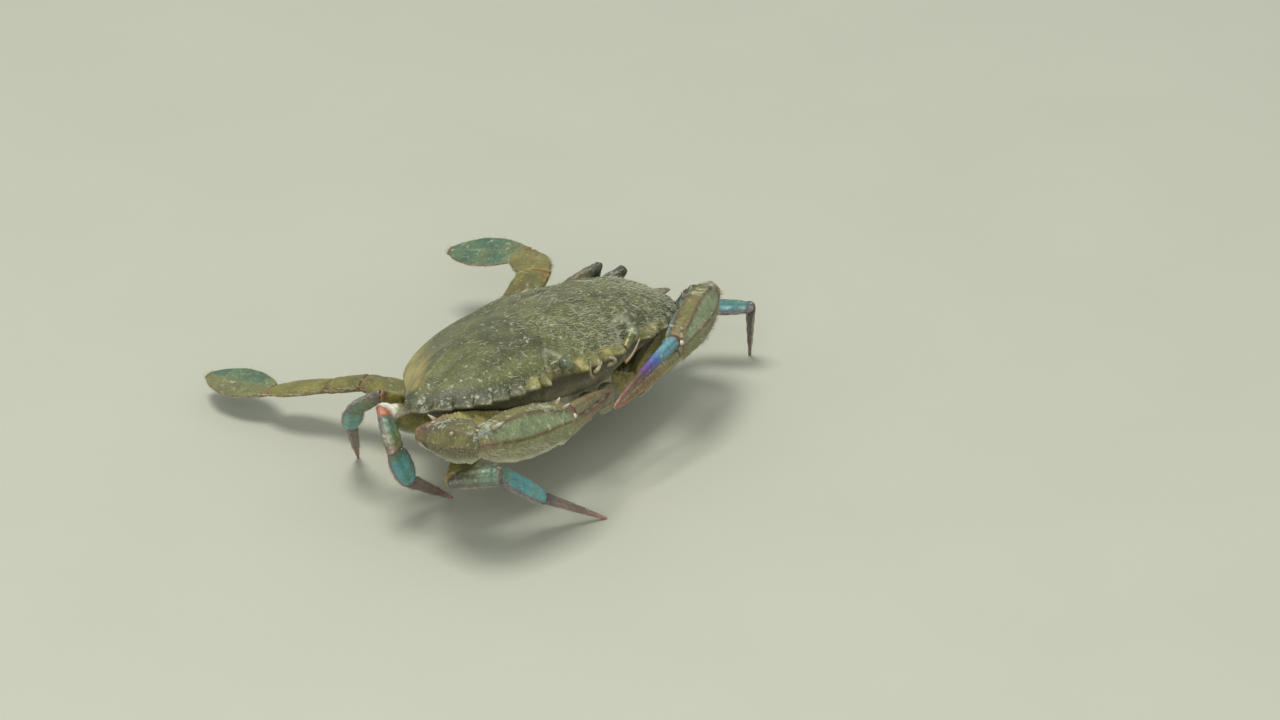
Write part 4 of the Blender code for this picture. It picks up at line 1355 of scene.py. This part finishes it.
def leg_tone(part, along, points, top, yellow, red_joint):
    """The colours of a walking leg. top is 1 on the upper edge, -1 on the lower."""
    cloud = clouds(-0.5, 0.8, points, 0.006, 41)
    edge = smoothstep(0.80, 0.98, np.abs(top))
    if part in ("ischium", "merus"):
        tone = mix(LEG_YELLOW, LEG_OLIVE, cloud)
        tone = mix(tone, LEG_BROWN, 0.5 * smoothstep(0.55, 0.95, along) * cloud)
        tone = mix(tone, JOINT_RED, 0.40 * smoothstep(0.95, 1.0, along))
        if red_joint and part == "merus":
            tone = mix(tone, JOINT_WHITE, 0.95 * smoothstep(0.88, 0.93, along))
        return mix(tone, CREAM, 0.45 * smoothstep(-0.5, -0.95, top))
    if part == "carpus":
        tone = mix(LEG_YELLOW if yellow else LEG_GREEN, KNEE_MOSS, cloud)
        if yellow:
            tone = mix(tone, KNEE_TEAL, 0.7 * smoothstep(0.55, 0.1, along))
            tone = mix(tone, KNEE_OLIVE, 0.9 * smoothstep(0.50, 0.75, along))
        else:
            tone = mix(tone, KNEE_BROWN, 0.7 * smoothstep(0.35, 0.0, along))
        tone = mix(tone, KNEE_VIOLET, 0.5 * edge)
        if red_joint:
            tone = mix(tone, JOINT_ORANGE, 0.9 * smoothstep(0.20, 0.09, along))
        return mix(tone, KNEE_ENDS[yellow], 0.7 * smoothstep(0.90, 1.0, along))
    if part == "propodus":
        tone = mix(LEG_BLUE, LEG_TEAL, cloud)
        tone = mix(tone, LEG_GREEN, 0.75 * smoothstep(0.22, 0.02, along))
        tone = mix(tone, LEG_VIOLET, 0.85 * edge)
        return mix(tone, SHIN_END, 0.8 * smoothstep(0.90, 1.0, along))
    tone = mix(DACTYL_GREY, DACTYL_BROWN, smoothstep(0.05, 0.3, along))
    tone = mix(tone, DACTYL_MAUVE, 0.6 * cloud)
    tone = mix(tone, DACTYL_ROOT, 0.55 * smoothstep(0.10, 0.0, along) * smoothstep(0.5, 0.0, along))
    return mix(tone, DACTYL_PINK, smoothstep(0.60, 0.97, along))


def walking_leg(side, letter, pair, number, scale, girth):
    name = f"leg{pair}_{letter}"
    outward, joints, ways = joints_of(pair - 1, side, WALKING, WALKING_POSES[name], scale)
    cuts = cuts_of(outward, ways, None)
    plane = unit(np.cross(joints[0] - joints[2], joints[-1] - joints[2]))
    raised_arm = np.cross(plane, ways[1])[2] > 0
    girth *= SPAN
    for i, (part, _) in enumerate(WALKING):
        way = ways[i]
        up = np.cross(plane, way)
        stations = WALKING_SECTIONS[part]
        grid, along, turn, out, above = segment(
            joints[i], joints[i + 1], up, cuts[i], stations, girth, WALKING_ROWS[part], WALKING_SIDES,
            leg_form(part), neck=0.04,
        )
        grid[..., 2] = np.maximum(grid[..., 2], FLOOR_CLEARANCE)
        top = np.sin(turn) * (1 if above[2] > 0 or (part == "dactyl" and raised_arm) else -1)
        tone = leg_tone(part, along, grid, top, yellow=side > 0 and pair > 2, red_joint=name == "leg3_r")
        # Painted shade: every segment of the far front left leg is darkened to 62 percent.
        if name == "leg2_l":
            tone = tone * 0.62
        silt = (0.06 + 0.18 * smoothstep(0.2, 1.0, top)) * clouds(-0.5, 0.4, grid, 0.005, 51 + number)
        silt = silt * (0.3 if part == "dactyl" else 1)
        shell_piece(f"{name}_{part}_shell", f"{name}_{part}", grid, tone, silt, leg_shell, "blue_leg")
        keel = smoothstep(0.965, 0.998, np.abs(np.sin(turn)))
        fringe = keel * WALKING_BRISTLES[part] * smoothstep(0.02, 0.12, along) * smoothstep(0.97, 0.85, along)
        keep_fringe(number, i, grid, along, turn, fringe, out * 0.55 + way * 0.9)
        if i:
            soft_joint(joints[i], ways[i - 1], way, np.array(stations[0][1:]) * girth * 0.88, up)


for leg_side, leg_letter, first_number in ((1, "l", 2), (-1, "r", 5)):
    for leg_pair in (2, 3, 4):
        leg_scale, leg_girth = (FOURTH_LEG_SCALE, FOURTH_LEG_GIRTH) if leg_pair == 4 else (1.0, 1.0)
        walking_leg(leg_side, leg_letter, leg_pair, first_number + leg_pair - 2, leg_scale, leg_girth)


# Swimming paddles -------------------------------------------------------------------------------------
# The last pair of legs, flattened into oars: short broad plates that end in a thin oval blade with a
# raised midrib. A soft fringe of bristles closes the water's way round every edge.

SWIMMING = (("ischium", 0.050), ("merus", 0.165), ("carpus", 0.088), ("propodus", 0.145), ("dactyl", 0.190))
SWIMMING_POSES = {
    "l": ((49, -7), (39, 29), (5, 17), (47, -9), (101, -10)),
    "r": ((102, -5), (101, 2), (103, -17), (103, -16), (86, -8)),
}
SWIMMING_SECTIONS = {
    "ischium": ((0, 0.022, 0.024), (1, 0.022, 0.027)),
    "merus": ((0, 0.020, 0.028), (0.25, 0.020, 0.040), (0.7, 0.018, 0.045), (1, 0.015, 0.034)),
    "carpus": ((0, 0.015, 0.028), (0.4, 0.016, 0.036), (0.8, 0.015, 0.037), (1, 0.012, 0.030)),
    "propodus": ((0, 0.012, 0.028), (0.3, 0.012, 0.043), (0.7, 0.010, 0.044), (1, 0.008, 0.026)),
    "dactyl": (
        (0, 0.008, 0.019), (0.1, 0.007, 0.033), (0.35, 0.0055, 0.050), (0.62, 0.0045, 0.051),
        (0.85, 0.0035, 0.034), (0.96, 0.003, 0.017), (1, 0.0025, 0.008),
    ),
}
# Rows, sides and neck of the blade, and of the segments before it.
BLADE_GRID, ARM_GRID = (100, 80, -0.04), (64, 72, -0.12)
SWIMMING_BRISTLES = {"ischium": 0, "merus": 0.5, "carpus": 0.7, "propodus": 1.0, "dactyl": 1.0}
BLADE_RIB_HEIGHT = 0.00026
BLADE_RIM_HEIGHT = 0.00012
BLADE_RAY_HEIGHT = 0.00003
PADDLE_RIM_HEIGHT = 0.00020
PADDLE_CREASE = 0.00012
# The way up of each swimming leg's arm and of its blade.
PADDLE_UP = {"l": ((-0.2, -0.15, 1.0), (-0.2, -0.15, 1.0)), "r": ((0.10, 0.08, 1.0), (-0.2, -0.15, 1.0))}

PADDLE_ROOT_RED = (0.330, 0.200, 0.130)
PADDLE_OLIVE = (0.210, 0.195, 0.055)
PADDLE_DARK = (0.150, 0.150, 0.055)
PADDLE_BROWN = (0.190, 0.110, 0.050)
PADDLE_OCHRE = (0.290, 0.270, 0.065)
PADDLE_TEAL = (0.095, 0.165, 0.105)
BLADE_GREEN = (0.130, 0.185, 0.100)
BLADE_ROOT = (0.270, 0.275, 0.110)
BLADE_PAINTED_LIGHT = (0.215, 0.205, 0.080)
BLADE_RIB = (0.210, 0.230, 0.110)
PADDLE_RIM = (0.200, 0.130, 0.060)

paddle_shell = shell_material("paddle_shell", 0.00060, 0.00003, 0.52, mottle=0.20, specks=0.20, gloss=0.35)


def paddle_form(part):
    def form(along, turn):
        flat = np.abs(np.cos(turn))
        rim = bump(flat, 0.90, 0.05)
        if part == "dactyl":
            rib = bump(np.cos(turn), 0, 0.07) * smoothstep(1.0, 0.7, along)
            rays = np.cos(along * 60 + flat * 7) * smoothstep(0.1, 0.4, flat) * smoothstep(0.95, 0.7, flat)
            lift = BLADE_RIB_HEIGHT * rib + BLADE_RIM_HEIGHT * rim + BLADE_RAY_HEIGHT * rays
        else:
            crease = bump(flat, 0.45, 0.07) * smoothstep(0.1, 0.3, along) * smoothstep(0.95, 0.8, along)
            lift = PADDLE_RIM_HEIGHT * rim - PADDLE_CREASE * crease
        return np.ones_like(flat), np.ones_like(flat), lift
    return form


def paddle_tone(part, along, turn, points, painted_light_edge):
    """The colours of a swimming leg. On the right paddle the outer half of the blade, turned to the light, is
    painted olive as painted light.
    """
    flat = np.abs(np.cos(turn))
    cloud = clouds(-0.5, 0.8, points, 0.006, 61)
    if part == "dactyl":
        tone = mix(PADDLE_TEAL, BLADE_GREEN, cloud)
        tone = mix(tone, BLADE_ROOT, 0.6 * smoothstep(0.30, 0.02, along))
        # Painted light: the blade's half that is turned to the light is tinted olive.
        if painted_light_edge:
            tone = mix(tone, BLADE_PAINTED_LIGHT, 0.75 * smoothstep(-0.15, 0.25, np.cos(turn)))
        tone = mix(tone, BLADE_RIB, 0.6 * bump(np.cos(turn), 0, 0.09))
        rim = np.maximum(smoothstep(0.90, 0.985, flat), smoothstep(0.93, 1.0, along))
        tone = mix(tone, PADDLE_RIM, 0.85 * rim)
        return mix(tone, JOINT_RED, 0.4 * smoothstep(0.06, 0.0, along))
    if part == "ischium":
        tone = mix(PADDLE_ROOT_RED, PADDLE_OLIVE, cloud)
    else:
        tone = mix(PADDLE_OLIVE, PADDLE_DARK, cloud)
        tone = mix(tone, PADDLE_BROWN, 0.45 * clouds(0.25, 0.8, points, 0.004, 62))
    if part == "propodus":
        tone = mix(tone, PADDLE_OCHRE, 0.35)
    tone = mix(tone, PADDLE_RIM, 0.45 * smoothstep(0.90, 0.985, flat))
    tone = mix(tone, JOINT_RED, 0.35 * smoothstep(0.90, 1.0, along) + 0.20 * smoothstep(0.10, 0.0, along))
    return mix(tone, CREAM, 0.5 * smoothstep(-0.3, -0.9, np.sin(turn)))


def paddle(side, letter, number):
    name = f"paddle_{letter}"
    outward, joints, ways = joints_of(4, side, SWIMMING, SWIMMING_POSES[letter])
    cuts = cuts_of(outward, ways, None)
    for i, (part, _) in enumerate(SWIMMING):
        way = ways[i]
        blade = part == "dactyl"
        up = unit(np.array(PADDLE_UP[letter][blade]))
        stations = SWIMMING_SECTIONS[part]
        rows, sides, neck = BLADE_GRID if blade else ARM_GRID
        grid, along, turn, out, _ = segment(
            joints[i], joints[i + 1], up, cuts[i], stations, SPAN, rows, sides, paddle_form(part), neck,
        )
        tone = paddle_tone(part, along, turn, grid, painted_light_edge=side < 0)
        silt = 0.16 * smoothstep(0.0, 0.8, np.sin(turn)) * clouds(-0.4, 0.5, grid, 0.006, 71 + number)
        shell_piece(f"{name}_{part}_shell", f"{name}_{part}", grid, tone, silt, paddle_shell, "teal_paddle")
        edge = smoothstep(0.975, 0.999, np.abs(np.cos(turn)))
        if blade:
            edge = np.maximum(edge, smoothstep(0.975, 0.995, along))
        lay = out * (0.35 + 0.4 * edge[..., None]) + way * 0.75
        keep_fringe(number, i, grid, along, turn, edge * SWIMMING_BRISTLES[part], lay)
        if i:
            soft_joint(joints[i], ways[i - 1], way, np.array(stations[0][1:]) * SPAN * 0.86, up)


paddle(1, "l", 8)
paddle(-1, "r", 9)


# Joint skin and knuckles ------------------------------------------------------------------------------
# What shows between two shell tubes: thin folded red-brown skin, all of it one piece, and a pair of hard pale
# knuckles on each joint, on whose line a crab's joint bends one way only.

joint_skin = shell_material("joint_skin", 0.00060, 0.00010, 0.55, mottle=0.30, specks=0.0)

joined_piece("joint_membranes", membranes, joint_skin, "orange_finger")
joined_piece("joint_knuckles", knuckles, spine_shell, "orange_finger")


# Bristles and silt ------------------------------------------------------------------------------------
# Fine hairs grow from the edges of the limbs and, short and matted with pale silt, over the front and the
# left of the back. Coarser grains and thin crusts of silt have settled along the saw edge and on the arms.

# How far one hair reaches in the unwrapped shell.
PATCH = 0.003
THREAD_STEP = 0.00045
THREAD_SIDES = 5
THREAD_RADII = (0.00008, 0.00016)
THREAD_LENGTHS = (6, 22)
# How far a thread's first heading strays, and how much it turns at each step, in radians.
THREAD_STRAY = 0.40
THREAD_TURN = 0.27
THREAD_LOWEST = 0.012
SOCKET_THREAD_RADIUS = 0.00022
# Crusts that lie round each eye socket: distance from its middle, and the turns they start and end at.
SOCKET_THREADS = ((0.030, 100, 250), (0.036, 130, 215), (0.026, 175, 262))
# Pieces of the claws with crusts of silt, the heading they lie along, and how many.
CLAW_THREADS = (
    ("claw_l_carpus_shell", (0.6, -0.7, 0.2), 26), ("claw_l_palm_shell", (0.6, -0.7, 0.2), 8),
    ("claw_r_carpus_shell", (0.7, -0.6, 0.2), 12), ("claw_r_palm_shell", (0.7, -0.6, 0.2), 14),
    ("claw_r_merus_shell", (0.7, -0.6, 0.2), 12),
)


def named(tree, name, kind):
    return add(tree, "GeometryNodeInputNamedAttribute", {"Name": name}, data_type=kind).outputs["Attribute"]


def stored(tree, geometry, name, kind, value, domain="POINT"):
    inputs = {"Geometry": geometry, "Name": name, "Value": value}
    return add(tree, "GeometryNodeStoreNamedAttribute", inputs, data_type=kind, domain=domain).outputs[0]


def vector_maths(tree, operation, inputs):
    return add(tree, "ShaderNodeVectorMath", inputs, operation=operation).outputs[0]


def scatter_tree(name, mask, hair):
    """Copies of a hair, or of a grain, over a shell, as many to the square metre as its mask allows."""
    tree = bpy.data.node_groups.new(name, "GeometryNodeTree")
    for label, kind in (
        ("Shell", "Geometry"), ("Per square metre", "Float"), ("Seed", "Int"), ("Length", "Float"),
        ("Thickness", "Float"), ("Curl", "Float"), ("Spread", "Float"), ("Finish", "Material"),
    ):
        tree.interface.new_socket(label, in_out="INPUT", socket_type=f"NodeSocket{kind}")
    tree.interface.new_socket("Coat", in_out="OUTPUT", socket_type="NodeSocketGeometry")
    given = add(tree, "NodeGroupInput").outputs
    length, thickness = given["Length"], given["Thickness"]

    def chance(low, high, offset):
        """A random number, or a random vector, between two others."""
        kind, first, found = ("FLOAT_VECTOR", 0, 0) if isinstance(low, tuple) else ("FLOAT", 2, 1)
        inputs = {first: low, first + 1: high, "Seed": maths(tree, "ADD", given["Seed"], offset)}
        return add(tree, "FunctionNodeRandomValue", inputs, data_type=kind).outputs[found]

    density = maths(tree, "MULTIPLY", named(tree, mask, "FLOAT"), given["Per square metre"])
    spread = add(tree, "GeometryNodeDistributePointsOnFaces", {
        "Mesh": given["Shell"], "Density": density, "Seed": given["Seed"],
    })
    roots = stored(tree, spread.outputs["Points"], "shade", "FLOAT", chance(0.0, 1.0, 11))

    # One hair is a three-sided spire bent over; one grain is a twenty-sided lump.
    if hair:
        shape = add(tree, "GeometryNodeMeshCone", {
            "Vertices": 3, "Side Segments": 3, "Radius Top": 0, "Radius Bottom": thickness, "Depth": length,
        })
        size = chance(0.55, 1.25, 37)
    else:
        shape = add(tree, "GeometryNodeMeshIcoSphere", {"Subdivisions": 1, "Radius": thickness})
        size = chance((0.4, 0.4, 0.3), (1.5, 1.3, 0.9), 37)
    position = add(tree, "GeometryNodeInputPosition").outputs[0]
    position = add(tree, "ShaderNodeSeparateXYZ", {0: position}).outputs
    share = maths(tree, "DIVIDE", position["Z"], length)
    curl = maths(tree, "MULTIPLY", given["Curl"], length)
    bend = maths(tree, "MULTIPLY", maths(tree, "MULTIPLY", share, share), curl)
    bend = add(tree, "ShaderNodeCombineXYZ", {"X": bend}).outputs[0]
    bent = add(tree, "GeometryNodeSetPosition", {0: shape.outputs["Mesh"], "Offset": bend}).outputs[0]
    patch = add(tree, "ShaderNodeCombineXYZ", {
        "X": maths(tree, "MULTIPLY", share, PATCH),
        "Y": maths(tree, "MULTIPLY", maths(tree, "DIVIDE", position["Y"], length), PATCH),
    }).outputs[0]
    template = stored(tree, bent, "patch", "FLOAT_VECTOR", patch)
    template = stored(tree, template, "reach", "FLOAT", share)

    # Each leans as the lay says, a little at random.
    stray = {0: chance((-1, -1, -1), (1, 1, 1), 23), "Scale": given["Spread"]}
    way = {0: named(tree, "lay", "FLOAT_VECTOR"), 1: vector_maths(tree, "SCALE", stray)}
    way = vector_maths(tree, "ADD", way)
    turned = add(tree, "FunctionNodeAlignRotationToVector", {"Vector": way}, axis="Z").outputs[0]
    placed = add(tree, "GeometryNodeInstanceOnPoints", {
        "Points": roots, "Instance": template, "Rotation": turned, "Scale": size,
    }).outputs[0]
    real = add(tree, "GeometryNodeRealizeInstances", {0: placed}).outputs[0]
    corner = {0: named(tree, "skin", "FLOAT_VECTOR"), 1: named(tree, "patch", "FLOAT_VECTOR")}
    mapped = stored(tree, real, "OFBake", "FLOAT2", vector_maths(tree, "ADD", corner), "CORNER")
    finished = add(tree, "GeometryNodeSetMaterial", {0: mapped, "Material": given["Finish"]}).outputs[0]
    add(tree, "NodeGroupOutput", {0: finished})
    return tree


def coat(name, shell, tree, values):
    """Grows one coat on a copy of a shell and keeps it as a plain mesh."""
    holder = add_object(name + "_ground", shell)
    modifier = holder.modifiers.new("coat", "NODES")
    modifier.node_group = tree
    for item in tree.interface.items_tree:
        if item.name in values:
            modifier[item.identifier] = values[item.name]
    graph = bpy.context.evaluated_depsgraph_get()
    mesh = bpy.data.meshes.new_from_object(holder.evaluated_get(graph))
    bpy.data.objects.remove(holder)
    mesh.name = name
    for extra in ("lay", "skin", "patch", "fringe", "fuzz", "silt", "tone"):
        if extra in mesh.attributes:
            mesh.attributes.remove(mesh.attributes[extra])
    add_piece(name, mesh)


def coat_material(name, dark, light, roughness):
    """Horn-like hair or dull grain, each a little lighter or darker than the next, paler to its tip."""
    material, tree, shader, place = new_material(name)
    paleness = maths(tree, "ADD", attribute(tree, "shade"), attribute(tree, "reach"))
    colour = blended(tree, ranged(tree, paleness, 0, 1.6, 0, 1), dark, light)
    colour = blended(tree, 0.4, colour, noise(tree, place, 420, 3, output="Color"), "MULTIPLY")
    fill(tree, shader, {"Base Color": colour, "Roughness": roughness})
    return material


bristle_horn = coat_material("bristle_horn", (0.420, 0.370, 0.220), (0.720, 0.700, 0.540), 0.6)
silted_hair = coat_material("silted_hair", (0.300, 0.310, 0.180), (0.620, 0.630, 0.460), 0.8)
silt_grain = coat_material("silt_grain", (0.330, 0.320, 0.220), (0.640, 0.640, 0.520), 0.85)
silt_crust = shell_material("silt_crust", 0.00030, 0.00003, 0.80, mottle=0.25, specks=0.0, gloss=0.2)

fringe_shell = new_mesh("fringe_shell", *joined(fringed))
coat("limb_bristles", fringe_shell, scatter_tree("hairs_on_fringe", "fringe", hair=True), {
    "Per square metre": 9.0e6, "Seed": 5, "Length": 0.0016, "Thickness": 0.000055, "Curl": 0.35,
    "Spread": 0.35, "Finish": bristle_horn,
})
coat("back_fuzz", back.data, scatter_tree("hairs_on_back", "fuzz", hair=True), {
    "Per square metre": 1.2e6, "Seed": 7, "Length": 0.0019, "Thickness": 0.000095, "Curl": 0.5,
    "Spread": 0.55, "Finish": silted_hair,
})
coat("back_grains", back.data, scatter_tree("grains_on_shell", "grains", hair=False), {
    "Per square metre": 1.0e6, "Seed": 9, "Length": 0.0006, "Thickness": 0.00016, "Curl": 0.0,
    "Spread": 1.0, "Finish": silt_grain,
})


def thread(centres, normals, radius, parts):
    """A thin crust of silt along a line on the shell, tapered at both ends."""
    rings = []
    for i, (centre, normal, way) in enumerate(zip(centres, normals, ways_along(centres))):
        size = radius * (0.25 + 0.75 * math.sin(math.pi * (i + 0.5) / len(centres)) ** 0.5)
        rings.append(centre + size * circle(THREAD_SIDES, unit(np.cross(normal, way)), 0.8 * normal))
    pale = 0.8 + 0.4 * ((len(parts) * 0.37) % 1)
    parts.append(one_tone(*tube(np.array(rings)), np.array(SILT_PALE) * pale))


def wandering_threads(shell, mask, least, heading, count, seed, parts):
    """Threads that set off near one heading from places where the mask is over a least value."""
    values = np.zeros(len(shell.vertices), np.float32)
    shell.attributes[mask].data.foreach_get("value", values)
    corners = np.zeros(len(shell.vertices) * 3, np.float32)
    shell.vertices.foreach_get("co", corners)
    corners = corners.reshape(-1, 3)
    ground = BVHTree.FromPolygons(corners.tolist(), [face.vertices[:] for face in shell.polygons])
    # Every part of the shell gets its share of threads, however close its corners lie.
    areas = np.zeros(len(shell.polygons), np.float32)
    shell.polygons.foreach_get("area", areas)
    starts = np.array([face.vertices[0] for face in shell.polygons])
    chances = areas.astype(float) * (values[starts] > least) * (corners[starts, 2] > THREAD_LOWEST)
    draw = np.random.default_rng(seed)
    heading = Vector(heading)
    for start in draw.choice(starts, count, p=chances / chances.sum()):
        place, turn = Vector(corners[start]), draw.normal(0, THREAD_STRAY)
        centres, normals = [], []
        for _ in range(int(draw.uniform(*THREAD_LENGTHS))):
            place, normal, _, _ = ground.find_nearest(place)
            centres.append(np.array(place))
            normals.append(np.array(normal))
            turn += draw.normal(0, THREAD_TURN)
            way = heading * math.cos(turn) + normal.cross(heading) * math.sin(turn)
            way -= normal * way.dot(normal)
            place = place + way.normalized() * THREAD_STEP
        thread(centres, normals, draw.uniform(*THREAD_RADII), parts)
    return ground


threads = []
ground = wandering_threads(back.data, "fuzz", 0.45, HAIR_WAY, 110, 17, threads)
for side in (1, -1):
    for away, first, last in SOCKET_THREADS:
        centres, normals = [], []
        for turn in np.radians(np.linspace(first, last, 22)) + 0.6:
            over = (side * (SOCKET_MIDDLE[0] + away * math.cos(turn)), -0.170 - away * math.sin(turn), 0.02)
            place, normal, _, _ = ground.find_nearest(Vector(to_world(over)))
            centres.append(np.array(place))
            normals.append(np.array(normal))
        thread(centres, normals, SOCKET_THREAD_RADIUS, threads)
joined_piece("back_threads", threads, silt_crust, "olive_shell")

threads = []
for name, heading, count in CLAW_THREADS:
    wandering_threads(bpy.data.objects[name].data, "silt", 0.22, heading, count, 23, threads)
joined_piece("claw_threads", threads, silt_crust, "olive_shell")


# Floor, light and camera ------------------------------------------------------------------------------
# A plain pale floor under plain soft light: a large panel almost overhead, a weaker one by the viewer,
# and an even grey sky. The lens is long, so the crab is seen almost without perspective.

FLOOR_SIZE = 6.0
FLOOR_PALE = (0.50, 0.51, 0.42)
FLOOR_CLOUD = tuple(0.93 * value for value in FLOOR_PALE)
SKY_GREY = (0.86, 0.90, 0.88)
SKY_STRENGTH = 0.55
VIEW_FROM = Vector((-0.714, -0.519, 0.469)).normalized()
VIEW_DISTANCE = 2.5
VIEW_RIGHT = 0.0352
VIEW_DOWN = 0.0024
VIEW_END = 20
LENS = 219.5
SENSOR = 36


def floor():
    """A sheet of matt paint, with a faint cloudiness and a fine tooth."""
    material, tree, shader, place = new_material("floor_paint")
    fill(tree, shader, {
        "Base Color": blended(tree, noise(tree, place, 14, 6), FLOOR_PALE, FLOOR_CLOUD), "Roughness": 0.85,
        "Normal": raised(tree, noise(tree, place, 900), 0.0002, 0.3),
    })
    half = FLOOR_SIZE / 2
    corners = [(-half, -half, 0), (half, -half, 0), (half, half, 0), (-half, half, 0)]
    mesh = new_mesh("floor", corners, [(0, 1, 2, 3)], {})
    mesh.materials.append(material)
    piece = add_object("floor", mesh)


def panel(name, place, size, watts, colour):
    """A square soft light that looks at the crab."""
    data = bpy.data.lights.new(name, "AREA")
    data.size = size
    data.energy = watts
    data.color = colour
    light = add_object(name, data)
    light.location = place
    light.rotation_euler = (BODY_CENTRE - light.location).to_track_quat("-Z", "Y").to_euler()


def camera():
    data = bpy.data.cameras.new("camera")
    data.lens = LENS
    data.sensor_width = SENSOR
    data.clip_end = VIEW_END
    viewer = add_object("camera", data)
    aim = VIEW_FROM.to_track_quat("Z", "Y")
    right, up = aim @ Vector((1, 0, 0)), aim @ Vector((0, 1, 0))
    viewer.location = BODY_CENTRE + right * VIEW_RIGHT - up * VIEW_DOWN + VIEW_FROM * VIEW_DISTANCE
    viewer.rotation_euler = aim.to_euler()
    bpy.context.scene.camera = viewer


def sky():
    world = bpy.data.worlds.new("studio")
    world.use_nodes = True
    fill(world.node_tree, world.node_tree.nodes["Background"], {"Color": SKY_GREY, "Strength": SKY_STRENGTH})
    bpy.context.scene.world = world


floor()
panel("key_panel", Vector((-0.50, 0.05, 2.25)), 0.80, 33, (1.0, 0.985, 0.93))
panel("fill_panel", Vector((-1.6, -1.1, 1.1)), 1.3, 14, (0.97, 0.99, 1.0))
sky()
bpy.context.scene.view_settings.view_transform = "Standard"
camera()
